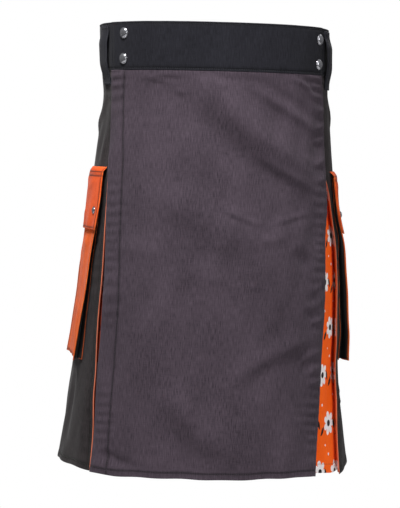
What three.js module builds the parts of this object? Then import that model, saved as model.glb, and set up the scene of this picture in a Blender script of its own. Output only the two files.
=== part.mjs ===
// Wrap-over utility kilt with two bellows cargo pockets, in millimetres, +Z up.
// The origin is the centre of the waist opening, halfway up the waistband.
// The apron faces -Y, and arc lengths run from its middle, positive towards +X.
// A drop is a distance below the waistband's top edge.
// A level is a distance out from the body surface, which is the side panels' outer face.

import * as THREE from 'three';

// Driving dimensions
const KILT_LENGTH = 612;
const BAND_HEIGHT = 66;
const SEAM = 0.3;
const PANEL_CLOTH = 1.6;
const INSERT_CLOTH = 1.2;
const BAND_CLOTH = 2.2;
const GUSSET_CLOTH = 1.0;
const FLAP_CLOTH = 2.0;
const SECTION_POWER = 2.3;
const LAYER_GAP = 0.5;

// Panels
const UNDER_APRON_INSET = { left: 4, right: 45, lip: 3 };
const SIDE_REAR = { waistLeft: 316, hemLeft: 359, waistRight: 308, hemRight: 396 };
const BACK_FACES = 4;
const BACK_GAP = { waist: 2.6, hem: 28, opens: 120 };
const INSERT_HEM_RISE = 3;
const PANEL_ROWS = [66.3, 100, 140, 180, 215, 250, 290, 340, 395, 455, 510, 560, 612];

// Levels of the layers
const PANEL_LEVEL = -PANEL_CLOTH;
const OVER_LEVEL = 1.0;
const OVER_HANG = 2.0;
const BAND_LEVEL = -PANEL_CLOTH;
const APRON_BAND_LEVEL = BAND_LEVEL + BAND_CLOTH + 0.4;
const LEG_LEVEL = -PANEL_CLOTH - LAYER_GAP - INSERT_CLOTH / 2;
const CROSS_LEVEL = LEG_LEVEL - 3.5;
const APRON_LEG_LEVEL = OVER_LEVEL - 0.9 - INSERT_CLOTH / 2;
const PLEAT_DEPTH = 24;
const PLEAT_SAG = 3;

// Waistband
const BAND_RUN = { from: 150, over: 110 };
const APRON_BAND_RUN = { from: -164, to: 160 };
const BAND_STEP = 12;

// Belt loops: arc of the middle of each
const LOOP_WIDTH = 24;
const LOOP_CLOTH = 1.6;
const LOOP_TOP = 4;
const LOOP_FOOT = 85;
const LOOP_FOOT_GAP = 0.8;
const LOOP_BULGE = 6.4;
const BELT_LOOPS = [
  { name: 'belt_loop_front_left', arc: -184, fraction: 0 },
  { name: 'belt_loop_front_right', arc: 181, fraction: 0 },
  { name: 'belt_loop_back_left', arc: 0, fraction: 1.3 },
  { name: 'belt_loop_back_centre', arc: 0, fraction: 1 },
  { name: 'belt_loop_back_right', arc: 0, fraction: 0.7 },
];

// Dome snaps
const BAND_SNAP = { radius: 7.5, dome: 3.4 };
const POCKET_SNAP = { radius: 6.2, dome: 2.8 };
const SNAP_SIDES = 16;
const BAND_SNAPS = [
  { name: 'snap_band_left_upper', arc: -138, drop: 15.5 },
  { name: 'snap_band_left_lower', arc: -140, drop: 50 },
  { name: 'snap_band_right_upper', arc: 150.5, drop: 17 },
  { name: 'snap_band_right_lower', arc: 148.5, drop: 51 },
];

// Pockets
const POCKET = { top: 206, foot: 466, width: 112, flare: 10, footFlare: 3 };
const FLAP = { top: 198, foot: 285, overhang: 4, kick: 2.5 };
const POCKET_BACK_CLOTH = 1.2;
const POCKET_GAP = 0.9;
const POCKET_ROWS = [206, 240, 275, 320, 368, 418, 466];
const FLAP_ROWS = [198, 202, 206, 240, 275, 285];
const GUSSET_TUCK = 9;
const POCKET_SNAP_DROP = 258;
const POCKET_SNAP_INSET = 14;

// Body sections: a superellipse at each drop, from the waist to the hem
const SECTIONS = [
  { drop: 0, halfWidth: 161, halfDepth: 125, shiftX: -1, shiftY: 0 },
  { drop: 66, halfWidth: 159, halfDepth: 124, shiftX: 1.5, shiftY: 0 },
  { drop: 100, halfWidth: 158, halfDepth: 125, shiftX: 4, shiftY: 0 },
  { drop: 134, halfWidth: 161, halfDepth: 128, shiftX: 4, shiftY: 1 },
  { drop: 200, halfWidth: 169, halfDepth: 137, shiftX: 3, shiftY: 3 },
  { drop: 285, halfWidth: 175.5, halfDepth: 144.5, shiftX: 2, shiftY: 4.5 },
  { drop: 385, halfWidth: 182.5, halfDepth: 153, shiftX: 0.5, shiftY: 5.5 },
  { drop: 469, halfWidth: 188, halfDepth: 158.5, shiftX: -1, shiftY: 6 },
  { drop: 564, halfWidth: 198.5, halfDepth: 167.5, shiftX: -2, shiftY: 6.5 },
  { drop: 612, halfWidth: 204.5, halfDepth: 172, shiftX: -2.5, shiftY: 6.5 },
];

// Arc positions of the apron's edges and of the side panels' leading edges
const EDGES = [
  { drop: 66, apronLeft: -166, apronRight: 157.5, panelLeft: -160, panelRight: 152 },
  { drop: 100, apronLeft: -171, apronRight: 160, panelLeft: -164, panelRight: 154 },
  { drop: 190, apronLeft: -168, apronRight: 164.5, panelLeft: -169, panelRight: 160 },
  { drop: 210, apronLeft: -168, apronRight: 164.6, panelLeft: -171.5, panelRight: 170 },
  { drop: 240, apronLeft: -168, apronRight: 164.7, panelLeft: -172.5, panelRight: 187 },
  { drop: 290, apronLeft: -167.5, apronRight: 164.4, panelLeft: -173, panelRight: 203.5 },
  { drop: 360, apronLeft: -166.5, apronRight: 163, panelLeft: -175, panelRight: 213 },
  { drop: 455, apronLeft: -169, apronRight: 160, panelLeft: -177, panelRight: 212 },
  { drop: 540, apronLeft: -171.5, apronRight: 153.5, panelLeft: -177.5, panelRight: 209 },
  { drop: 612, apronLeft: -173.5, apronRight: 147.5, panelLeft: -179, panelRight: 216 },
];

// Arc lengths from the apron's middle to the front edge of each pocket's back layer
const POCKET_EDGES = [
  { drop: 198, left: 184, right: 198 },
  { drop: 255, left: 189, right: 209 },
  { drop: 300, left: 196, right: 224 },
  { drop: 350, left: 202, right: 238 },
  { drop: 400, left: 208, right: 245 },
  { drop: 466, left: 215, right: 249 },
];

// Soft folds of the cloth: a run from one spot to another, with its width and rise
const FOLDS = [
  { fromArc: 60, fromDrop: 88, toArc: 160, toDrop: 172, width: 18, rise: -1.2 },
  { fromArc: 0, fromDrop: 80, toArc: 150, toDrop: 236, width: 22, rise: 1.6 },
  { fromArc: -60, fromDrop: 104, toArc: 120, toDrop: 258, width: 24, rise: -1.6 },
  { fromArc: 10, fromDrop: 300, toArc: 120, toDrop: 268, width: 20, rise: 1.4 },
  { fromArc: -120, fromDrop: 330, toArc: -70, toDrop: 600, width: 34, rise: 1.8 },
  { fromArc: 70, fromDrop: 340, toArc: 95, toDrop: 600, width: 38, rise: 2.0 },
  { fromArc: 230, fromDrop: 300, toArc: 250, toDrop: 420, width: 60, rise: 3.0 },
];
const HEM_WAVE = { rise: 2.6, length: 157, opens: 260 };

// Colours of the finishes
const FINISHES = {
  apron: { color: 0x4c4450, roughness: 0.9, metalness: 0 },
  panel: { color: 0x3a3a38, roughness: 0.9, metalness: 0 },
  band: { color: 0x26272e, roughness: 0.9, metalness: 0 },
  insert: { color: 0xff6a10, roughness: 0.85, metalness: 0 },
  pocket: { color: 0xee6428, roughness: 0.85, metalness: 0 },
  gusset: { color: 0x161614, roughness: 0.9, metalness: 0 },
  snap: { color: 0xb9bcc0, roughness: 0.3, metalness: 1 },
};

const SECTION_STEPS = 720;
const sectionCache = new Map();

function column(table, name, drop) {
  // A smooth curve through one named column of a table, read at a drop
  const last = table.length - 1;
  const held = Math.min(Math.max(drop, table[0].drop), table[last].drop);
  let row = 0;
  while (row < last - 1 && held > table[row + 1].drop) row += 1;
  const slopeAt = (i) => {
    const before = table[Math.max(i - 1, 0)];
    const after = table[Math.min(i + 1, last)];
    return (after[name] - before[name]) / (after.drop - before.drop);
  };
  const here = table[row];
  const next = table[row + 1];
  const span = next.drop - here.drop;
  const t = (held - here.drop) / span;
  const t2 = t * t;
  const t3 = t2 * t;
  return (2 * t3 - 3 * t2 + 1) * here[name]
    + (t3 - 2 * t2 + t) * span * slopeAt(row)
    + (3 * t2 - 2 * t3) * next[name]
    + (t3 - t2) * span * slopeAt(row + 1);
}

function smoothstep(from, to, value) {
  const t = Math.min(Math.max((value - from) / (to - from), 0), 1);
  return t * t * (3 - 2 * t);
}

function mix(from, to, t) {
  return from + (to - from) * t;
}

function sectionAt(drop) {
  // Points, arc lengths and outward normals round the body at a drop
  const key = drop.toFixed(4);
  if (sectionCache.has(key)) return sectionCache.get(key);
  const halfWidth = column(SECTIONS, 'halfWidth', drop);
  const halfDepth = column(SECTIONS, 'halfDepth', drop);
  const shiftX = column(SECTIONS, 'shiftX', drop);
  const shiftY = column(SECTIONS, 'shiftY', drop);
  const bend = (value) => Math.sign(value) * Math.abs(value) ** (2 / SECTION_POWER);
  const slope = (value) => Math.sign(value) * Math.abs(value) ** (SECTION_POWER - 1);
  const points = [];
  let arc = 0;
  for (let i = 0; i <= SECTION_STEPS; i += 1) {
    const angle = Math.PI * (2 * i / SECTION_STEPS - 1);
    const sideways = bend(Math.sin(angle));
    const forward = bend(-Math.cos(angle));
    const x = halfWidth * sideways + shiftX;
    const y = halfDepth * forward + shiftY;
    const normal = new THREE.Vector2(slope(sideways) / halfWidth, slope(forward) / halfDepth);
    normal.normalize();
    if (i > 0) arc += Math.hypot(x - points[i - 1].x, y - points[i - 1].y);
    points.push({ x, y, arc, normal });
  }
  const front = points[SECTION_STEPS / 2].arc;
  for (const point of points) point.arc -= front;
  const section = { points, perimeter: arc, back: -points[0].arc };
  sectionCache.set(key, section);
  return section;
}

function drape(arc, drop) {
  // How far the soft folds and the hem's waves move the body surface out
  let rise = 0;
  for (const fold of FOLDS) {
    const alongArc = fold.toArc - fold.fromArc;
    const alongDrop = fold.toDrop - fold.fromDrop;
    const run = Math.hypot(alongArc, alongDrop);
    const aside = ((arc - fold.fromArc) * alongDrop - (drop - fold.fromDrop) * alongArc) / run;
    const along = ((arc - fold.fromArc) * alongArc + (drop - fold.fromDrop) * alongDrop) / run;
    const beyond = Math.max(-along, along - run, 0);
    const ends = Math.exp(-((beyond / (0.25 * run)) ** 2));
    rise += fold.rise * ends * Math.exp(-((aside / fold.width) ** 2));
  }
  const round = sectionAt(drop).perimeter;
  const fromFront = Math.min(Math.abs(arc), Math.abs(round - arc), Math.abs(round + arc));
  const aside = smoothstep(190, 260, fromFront);
  const wave = Math.cos(2 * Math.PI * fromFront / HEM_WAVE.length);
  rise += HEM_WAVE.rise * wave * aside * smoothstep(HEM_WAVE.opens, KILT_LENGTH, drop);
  return rise * smoothstep(BAND_HEIGHT, BAND_HEIGHT + 40, drop);
}

function spot(arc, drop, level) {
  // The point on the draped body at an arc and a drop, moved out to a level
  const { points, perimeter, back } = sectionAt(drop);
  const turned = ((arc + back) % perimeter + perimeter) % perimeter - back;
  let low = 0;
  let high = SECTION_STEPS;
  while (high - low > 1) {
    const middle = (low + high) >> 1;
    if (points[middle].arc > turned) high = middle;
    else low = middle;
  }
  const from = points[low];
  const to = points[high];
  const t = (turned - from.arc) / (to.arc - from.arc);
  const normal = from.normal.clone().lerp(to.normal, t).normalize();
  const out = level + drape(turned, drop);
  return new THREE.Vector3(
    mix(from.x, to.x, t) + normal.x * out,
    mix(from.y, to.y, t) + normal.y * out,
    BAND_HEIGHT / 2 - drop,
  );
}

function overHang(drop) {
  // The over-apron swings a little further out towards its hem
  return OVER_HANG * smoothstep(BAND_HEIGHT, KILT_LENGTH, drop);
}

function pieceMesh(name, finish, geometry) {
  const mesh = new THREE.Mesh(geometry, new THREE.MeshStandardMaterial(FINISHES[finish]));
  mesh.name = name;
  return mesh;
}

function facesOut(positions, index) {
  // A closed surface whose volume comes out negative is turned inside out
  const corner = (i) => new THREE.Vector3(...positions.slice(3 * i, 3 * i + 3));
  let volume = 0;
  for (let i = 0; i < index.length; i += 3) {
    volume += corner(index[i]).dot(corner(index[i + 1]).cross(corner(index[i + 2])));
  }
  if (volume < 0) index.reverse();
  const geometry = new THREE.BufferGeometry();
  geometry.setAttribute('position', new THREE.Float32BufferAttribute(positions, 3));
  geometry.setIndex(index);
  geometry.computeVertexNormals();
  return geometry;
}

function clothWall(columns, rows, place) {
  // A closed wall from a grid: place gives the point at a column and a row of each face
  const positions = [];
  const index = [];
  const id = (c, r, face) => (r * (columns + 1) + c) * 2 + face;
  const apart = (a, b) => Math.hypot(...[0, 1, 2].map((k) => positions[3 * a + k] - positions[3 * b + k]));
  const quad = (a, b, c, d) => {
    if (apart(a, c) <= apart(b, d)) index.push(a, b, c, a, c, d);
    else index.push(a, b, d, b, c, d);
  };
  for (let r = 0; r <= rows; r += 1) {
    for (let c = 0; c <= columns; c += 1) {
      positions.push(...place(c, r, 0).toArray(), ...place(c, r, 1).toArray());
    }
  }
  for (let r = 0; r < rows; r += 1) {
    for (let c = 0; c < columns; c += 1) {
      quad(id(c, r, 1), id(c, r + 1, 1), id(c + 1, r + 1, 1), id(c + 1, r, 1));
      quad(id(c, r, 0), id(c + 1, r, 0), id(c + 1, r + 1, 0), id(c, r + 1, 0));
    }
    quad(id(0, r, 0), id(0, r + 1, 0), id(0, r + 1, 1), id(0, r, 1));
    quad(id(columns, r, 1), id(columns, r + 1, 1), id(columns, r + 1, 0), id(columns, r, 0));
  }
  for (let c = 0; c < columns; c += 1) {
    quad(id(c, 0, 1), id(c + 1, 0, 1), id(c + 1, 0, 0), id(c, 0, 0));
    quad(id(c, rows, 0), id(c + 1, rows, 0), id(c + 1, rows, 1), id(c, rows, 1));
  }
  return facesOut(positions, index);
}

function panelDrops(foot, halves = false) {
  // The drops of the rows that all panels share, with the last at the piece's own foot
  const drops = [...PANEL_ROWS.slice(0, -1), foot];
  if (!halves) return drops;
  return drops.flatMap((drop, i) => (i === 0 ? [drop] : [mix(drops[i - 1], drop, 0.5), drop]));
}

function panel(name, finish, columns, edges, level, halves = false) {
  // A flat panel between two edges, each an arc that changes with the drop
  const drops = panelDrops(KILT_LENGTH, halves);
  const place = (c, r, face) => {
    const drop = drops[r];
    const { from, to } = edges(drop);
    return spot(mix(from, to, c / columns), drop, level(drop) + face * PANEL_CLOTH);
  };
  return pieceMesh(name, finish, clothWall(columns, drops.length - 1, place));
}

function offsetPath(path, half) {
  // A path in a plane moved sideways by half the cloth's thickness, mitred at its corners
  return path.map((point, i) => {
    const before = path[Math.max(i - 1, 0)];
    const after = path[Math.min(i + 1, path.length - 1)];
    const entering = point.clone().sub(i > 0 ? before : point).normalize();
    const leaving = after.clone().sub(i < path.length - 1 ? point : after).normalize();
    if (i === 0) entering.copy(leaving);
    if (i === path.length - 1) leaving.copy(entering);
    const tangent = entering.clone().add(leaving).normalize();
    const stretch = Math.max(tangent.dot(leaving), 0.5);
    return new THREE.Vector2(-tangent.y, tangent.x).multiplyScalar(half / stretch).add(point);
  });
}

function foldedWall(name, finish, drops, cloth, pathAt) {
  // A strip folded along its length: pathAt gives arcs and levels across it at each drop
  const rings = drops.map((drop) => {
    const path = pathAt(drop);
    return [offsetPath(path, -cloth / 2), offsetPath(path, cloth / 2)];
  });
  const columns = rings[0][0].length - 1;
  const place = (c, r, face) => {
    const point = rings[r][face][c];
    return spot(point.x, drops[r], point.y);
  };
  return pieceMesh(name, finish, clothWall(columns, drops.length - 1, place));
}

function pleatPath({ near, far, way }, legLevel, inset) {
  // From under the near panel's edge, back across the gap, to a rolled lip at the far edge
  const at = (arc, level) => new THREE.Vector2(arc, level);
  const turn = (edge, outward, level) => {
    const half = (level - CROSS_LEVEL) / 2;
    const tip = edge + outward * PLEAT_DEPTH;
    return [
      at(tip - outward * half, level),
      at(tip, level - half),
      at(tip - outward * half, CROSS_LEVEL),
    ];
  };
  const sag = PLEAT_SAG * smoothstep(4, 40, Math.abs(far - near));
  return [
    at(near - way * inset, legLevel),
    ...turn(near, -way, legLevel),
    at(mix(near, far, 0.25) - way, CROSS_LEVEL - 0.6 * sag),
    at(mix(near, far, 0.75) + way, CROSS_LEVEL - sag),
    ...turn(far, way, LEG_LEVEL).reverse(),
    at(far, LEG_LEVEL),
    at(far, -0.1),
  ];
}

function pleatInsert(name, gapAt, apronLeg = false) {
  // The contrast cloth of one pleat, hung between two panels' edges
  const pathAt = (drop) => {
    const level = apronLeg ? APRON_LEG_LEVEL + overHang(drop) : LEG_LEVEL;
    const inset = apronLeg ? 8 - 6 * smoothstep(200, 270, drop) : 1;
    return pleatPath(gapAt(drop), level, inset);
  };
  const drops = panelDrops(KILT_LENGTH - INSERT_HEM_RISE);
  return foldedWall(name, 'insert', drops, INSERT_CLOTH, pathAt);
}

const LIP_CLEAR = INSERT_CLOTH / 2 + SEAM;

function sidePanelEdges(side, drop) {
  // Arcs of a side panel's leading and rear edges, side being -1 or 1
  const word = side < 0 ? 'Left' : 'Right';
  const lead = column(EDGES, `panel${word}`, drop);
  const spread = (drop - BAND_HEIGHT) / (KILT_LENGTH - BAND_HEIGHT);
  const rear = mix(SIDE_REAR[`waist${word}`], SIDE_REAR[`hem${word}`], spread);
  return { lip: lead, from: lead + side * LIP_CLEAR, to: side * rear };
}

function backLayout(drop) {
  // Faces and gaps of the back, in arcs that go on past the middle of the back
  const right = sidePanelEdges(1, drop).to;
  const left = sidePanelEdges(-1, drop).to + sectionAt(drop).perimeter;
  const open = smoothstep(BACK_GAP.opens, KILT_LENGTH, drop);
  const gap = mix(BACK_GAP.waist, BACK_GAP.hem, open);
  const face = (left - right - (BACK_FACES + 1) * gap) / BACK_FACES;
  return { start: right, face, gap };
}

function backFaceEdges(index, drop) {
  // One face of the back, kept clear of the lip that rolls over its leading edge
  const { start, face, gap } = backLayout(drop);
  const from = start + gap + index * (face + gap);
  const firstHalf = index < BACK_FACES / 2;
  return {
    from: firstHalf || index === BACK_FACES / 2 ? from + LIP_CLEAR : from,
    to: firstHalf ? from + face : from + face - LIP_CLEAR,
  };
}

function backGap(index, drop) {
  // One gap of the back: its plain edge and the edge that carries the lip
  const { start, face, gap } = backLayout(drop);
  const from = start + index * (face + gap);
  const towardsLeft = index <= BACK_FACES / 2;
  return towardsLeft
    ? { near: from, far: from + gap, way: 1 }
    : { near: from + gap, far: from, way: -1 };
}

function latticeArcs(from, to, step) {
  // Both ends and every whole multiple of the step between them
  const arcs = [from];
  for (let arc = Math.ceil((from + 1) / step) * step; arc < to - 1; arc += step) arcs.push(arc);
  arcs.push(to);
  return arcs;
}

function bandStrip(name, arcs, level) {
  const rows = 2;
  const place = (c, r, face) => {
    const drop = mix(0, BAND_HEIGHT, r / rows);
    return spot(arcs[c], drop, level + face * BAND_CLOTH);
  };
  return pieceMesh(name, 'band', clothWall(arcs.length - 1, rows, place));
}

function beltLoop({ name, arc, fraction }) {
  // A strap sewn down at its top and foot, bowed out between them
  const steps = 10;
  const across = 2;
  const middle = fraction > 0 ? fraction * sectionAt(BAND_HEIGHT).back : arc;
  const bandFace = BAND_LEVEL + BAND_CLOTH + LAYER_GAP + LOOP_CLOTH / 2;
  const panelFace = LOOP_FOOT_GAP + LOOP_CLOTH / 2;
  const path = [];
  for (let i = 0; i <= steps; i += 1) {
    const t = i / steps;
    const sewn = mix(bandFace, panelFace, smoothstep(0.75, 1, t));
    const bow = smoothstep(0.06, 0.32, t) * (1 - smoothstep(0.6, 0.94, t));
    path.push(new THREE.Vector2(mix(LOOP_TOP, LOOP_FOOT, t), sewn + LOOP_BULGE * bow));
  }
  const faces = [offsetPath(path, -LOOP_CLOTH / 2), offsetPath(path, LOOP_CLOTH / 2)];
  const place = (c, r, face) => {
    const point = faces[face][r];
    return spot(middle + (c / across - 0.5) * LOOP_WIDTH, point.x, point.y);
  };
  return pieceMesh(name, 'band', clothWall(across, steps, place));
}

function domeSnap(name, size, surface) {
  // A turned metal cap, seated on a surface that gives a point for a small shift
  const profile = [
    new THREE.Vector2(0, 0),
    new THREE.Vector2(size.radius, 0),
    new THREE.Vector2(size.radius, 0.25 * size.dome),
    new THREE.Vector2(0.8 * size.radius, 0.68 * size.dome),
    new THREE.Vector2(0.45 * size.radius, 0.93 * size.dome),
    new THREE.Vector2(0, size.dome),
  ];
  const reach = size.radius * 0.8;
  const centre = surface(0, 0);
  const across = surface(reach, 0).sub(surface(-reach, 0)).normalize();
  const down = surface(0, reach).sub(surface(0, -reach)).normalize();
  const normal = new THREE.Vector3().crossVectors(down, across).normalize();
  const mesh = pieceMesh(name, 'snap', new THREE.LatheGeometry(profile, SNAP_SIDES));
  mesh.quaternion.setFromUnitVectors(new THREE.Vector3(0, 1, 0), normal);
  mesh.position.copy(centre).addScaledVector(normal, LAYER_GAP);
  return mesh;
}

function pocketEdges(side, drop) {
  // Arcs of the back layer's and the front face's edges, front edge first
  const front = column(POCKET_EDGES, side < 0 ? 'left' : 'right', drop);
  const down = smoothstep(POCKET.foot - 90, POCKET.foot, drop);
  const flare = mix(POCKET.flare, POCKET.footFlare, down);
  return {
    back: { from: side * front, to: side * (front + POCKET.width) },
    face: { from: side * (front - flare), to: side * (front + POCKET.width + flare) },
  };
}

function pocketStand(side, arc, drop) {
  // How far the pocket's outer face stands off the panel: least in the middle
  const { from, to } = pocketEdges(side, drop).face;
  const across = Math.min(Math.max((arc - from) / (to - from), 0), 1);
  const middle = mix(5, 8, smoothstep(POCKET.top, POCKET.top + 60, drop));
  const down = Math.max((drop - POCKET.top) / (POCKET.foot - POCKET.top), 0);
  const edge = mix(2.5, 8, down ** 0.8);
  return middle + edge * (2 * across - 1) ** 2;
}

function pocketWall(name, finish, side, run, cloth, innerLevel) {
  // One layer of a pocket, as wide as its run says at each drop
  const { columns, drops, layer, overhang } = run;
  const place = (c, r, face) => {
    const drop = drops[r];
    const edge = pocketEdges(side, drop)[layer];
    const arc = mix(edge.from - side * overhang, edge.to + side * overhang, c / columns);
    return spot(arc, drop, innerLevel(arc, drop) + face * cloth);
  };
  return pieceMesh(name, finish, clothWall(columns, drops.length - 1, place));
}

function flapLevel(side, arc, drop) {
  // The flap lies on the panel at its seam and on the pocket's face below it
  const over = pocketStand(side, arc, Math.max(drop, POCKET.top)) + POCKET_GAP;
  const kick = FLAP.kick * smoothstep(FLAP.foot - 50, FLAP.foot, drop);
  return mix(LAYER_GAP, over, smoothstep(FLAP.top, POCKET.top - 1, drop)) + kick;
}

function gussetLevels(side, arc, drop) {
  // The levels between which a bellows strip runs, from the back layer to the face
  const low = POCKET_GAP + POCKET_BACK_CLOTH + 0.4 + GUSSET_CLOTH / 2;
  const high = pocketStand(side, arc, drop) - PANEL_CLOTH - 0.7 - GUSSET_CLOTH / 2;
  return { low, high };
}

function sideGusset(name, side, end) {
  // The bellows strip of a pocket's front or rear edge, folded in along its middle
  const drops = [POCKET.top + 4, ...POCKET_ROWS.slice(1, -1), POCKET.foot - 2];
  const inward = end === 'from' ? side : -side;
  const pathAt = (drop) => {
    const edges = pocketEdges(side, drop);
    const back = edges.back[end] + inward * 1.5;
    const face = edges.face[end] + inward * 3;
    const { low, high } = gussetLevels(side, face, drop);
    return [
      new THREE.Vector2(back, low),
      new THREE.Vector2(back + inward * (GUSSET_TUCK - 0.5), mix(low, high, 0.3)),
      new THREE.Vector2(back + inward * (GUSSET_TUCK - 0.5), mix(low, high, 0.6)),
      new THREE.Vector2(face, high),
    ];
  };
  return foldedWall(name, 'gusset', drops, GUSSET_CLOTH, pathAt);
}

function baseGusset(name, side) {
  // The bellows strip along a pocket's foot, folded up between its layers
  const columns = 8;
  const inset = GUSSET_TUCK + 5;
  const foot = POCKET.foot - 1;
  const tip = foot - GUSSET_TUCK;
  const edge = pocketEdges(side, foot).back;
  const place = (c, r, face) => {
    const arc = mix(edge.from + side * inset, edge.to - side * inset, c / columns);
    const { low, high } = gussetLevels(side, arc, foot);
    const path = [
      new THREE.Vector2(foot, low),
      new THREE.Vector2(tip + 0.5, mix(low, high, 0.25)),
      new THREE.Vector2(tip + 0.5, mix(low, high, 0.65)),
      new THREE.Vector2(foot, high),
    ];
    const point = offsetPath(path, (face - 0.5) * GUSSET_CLOTH)[r];
    return spot(arc, point.x, point.y);
  };
  return pieceMesh(name, 'gusset', clothWall(columns, 3, place));
}

function pocketSnap(name, side, end) {
  // A snap near one lower corner of the flap
  const surface = (shiftArc, shiftDrop) => {
    const drop = POCKET_SNAP_DROP + shiftDrop;
    const edge = pocketEdges(side, drop).face[end];
    const inward = end === 'from' ? side : -side;
    const arc = edge + inward * (POCKET_SNAP_INSET - FLAP.overhang) + shiftArc;
    return spot(arc, drop, flapLevel(side, arc, drop) + FLAP_CLOTH);
  };
  return domeSnap(name, POCKET_SNAP, surface);
}

function pocket(side) {
  // One cargo pocket: back, bellows strips, front face, flap and its two snaps
  const word = side < 0 ? 'left' : 'right';
  const backRun = { columns: 7, drops: POCKET_ROWS, layer: 'back', overhang: 0 };
  const faceRun = { columns: 10, drops: POCKET_ROWS, layer: 'face', overhang: 0 };
  const flapRun = { columns: 10, drops: FLAP_ROWS, layer: 'face', overhang: FLAP.overhang };
  const backLevel = () => POCKET_GAP;
  const faceLevel = (arc, drop) => pocketStand(side, arc, drop) - PANEL_CLOTH;
  const overLevel = (arc, drop) => flapLevel(side, arc, drop);
  return [
    pocketWall(`pocket_${word}_back`, 'pocket', side, backRun, POCKET_BACK_CLOTH, backLevel),
    sideGusset(`pocket_${word}_gusset_front`, side, 'from'),
    sideGusset(`pocket_${word}_gusset_rear`, side, 'to'),
    baseGusset(`pocket_${word}_gusset_base`, side),
    pocketWall(`pocket_${word}_front`, 'pocket', side, faceRun, PANEL_CLOTH, faceLevel),
    pocketWall(`pocket_${word}_flap`, 'pocket', side, flapRun, FLAP_CLOTH, overLevel),
    pocketSnap(`snap_pocket_${word}_front`, side, 'from'),
    pocketSnap(`snap_pocket_${word}_rear`, side, 'to'),
  ];
}

function underApronLeft(drop) {
  // The under-apron's left edge, inside the over-apron's edge and clear of the pleat's lip
  const hung = column(EDGES, 'apronLeft', drop) + UNDER_APRON_INSET.left;
  const clear = column(EDGES, 'panelLeft', drop) + UNDER_APRON_INSET.lip;
  return Math.max(hung, clear);
}

function aprons() {
  const overEdges = (drop) => ({
    from: column(EDGES, 'apronLeft', drop),
    to: column(EDGES, 'apronRight', drop),
  });
  const underEdges = (drop) => ({
    from: underApronLeft(drop),
    to: column(EDGES, 'apronRight', drop) - UNDER_APRON_INSET.right,
  });
  const overLevel = (drop) => OVER_LEVEL + overHang(drop);
  return [
    panel('over_apron', 'apron', 22, overEdges, overLevel, true),
    panel('under_apron', 'apron', 14, underEdges, () => PANEL_LEVEL),
  ];
}

function sideAndBackPanels() {
  const level = () => PANEL_LEVEL;
  const pieces = [
    panel('side_panel_left', 'panel', 11, (drop) => sidePanelEdges(-1, drop), level),
    panel('side_panel_right', 'panel', 11, (drop) => sidePanelEdges(1, drop), level),
  ];
  for (let i = 0; i < BACK_FACES; i += 1) {
    const edges = (drop) => backFaceEdges(i, drop);
    pieces.push(panel(`back_face_${i + 1}`, 'panel', 6, edges, level));
  }
  return pieces;
}

function pleats() {
  const leftGap = (drop) => ({
    near: underApronLeft(drop),
    far: sidePanelEdges(-1, drop).lip,
    way: -1,
  });
  const rightGap = (drop) => ({
    near: column(EDGES, 'apronRight', drop),
    far: sidePanelEdges(1, drop).lip,
    way: 1,
  });
  const pieces = [
    pleatInsert('pleat_front_left', leftGap),
    pleatInsert('pleat_front_right', rightGap, true),
  ];
  for (let i = 0; i <= BACK_FACES; i += 1) {
    pieces.push(pleatInsert(`pleat_back_${i + 1}`, (drop) => backGap(i, drop)));
  }
  return pieces;
}

function waistband() {
  const lap = sectionAt(0).perimeter + BAND_RUN.over;
  const round = latticeArcs(BAND_RUN.from, lap, BAND_STEP);
  const front = latticeArcs(APRON_BAND_RUN.from, APRON_BAND_RUN.to, BAND_STEP);
  return [
    bandStrip('waistband', round, BAND_LEVEL),
    bandStrip('apron_band', front, APRON_BAND_LEVEL),
  ];
}

function bandSnaps() {
  return BAND_SNAPS.map(({ name, arc, drop }) => {
    const level = APRON_BAND_LEVEL + BAND_CLOTH;
    const surface = (shiftArc, shiftDrop) => spot(arc + shiftArc, drop + shiftDrop, level);
    return domeSnap(name, BAND_SNAP, surface);
  });
}

const kilt = new THREE.Group();
kilt.add(...waistband());
kilt.add(...aprons());
kilt.add(...sideAndBackPanels());
kilt.add(...pleats());
kilt.add(...BELT_LOOPS.map(beltLoop));
kilt.add(...bandSnaps());
kilt.add(...pocket(-1));
kilt.add(...pocket(1));

export default kilt;
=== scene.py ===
"""A wrap-over utility kilt with bellows cargo pockets, dressed round its construction model.

Lengths are millimetres until a mesh is written, and the mesh is in metres.
An arc is a distance round the body from the middle of the front, positive towards +X.
A drop is a distance below the waistband's top edge.
A level is a distance out from the body surface, which is the side panels' outer face.
"""

import math

import bpy
import numpy as np
from mathutils import Matrix, Vector


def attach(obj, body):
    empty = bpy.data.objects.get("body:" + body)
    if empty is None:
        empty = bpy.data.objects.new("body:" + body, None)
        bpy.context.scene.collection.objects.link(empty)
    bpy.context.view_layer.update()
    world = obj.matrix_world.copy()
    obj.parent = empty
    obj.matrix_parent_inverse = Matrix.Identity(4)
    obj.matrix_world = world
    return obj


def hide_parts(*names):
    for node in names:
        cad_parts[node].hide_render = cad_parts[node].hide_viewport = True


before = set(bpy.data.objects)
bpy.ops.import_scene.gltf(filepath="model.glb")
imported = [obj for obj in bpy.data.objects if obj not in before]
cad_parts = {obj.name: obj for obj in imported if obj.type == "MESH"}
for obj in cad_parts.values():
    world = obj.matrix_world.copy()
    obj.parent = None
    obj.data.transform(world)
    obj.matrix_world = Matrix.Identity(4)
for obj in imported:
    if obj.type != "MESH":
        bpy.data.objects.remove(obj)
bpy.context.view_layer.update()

MM = 0.001

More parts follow.
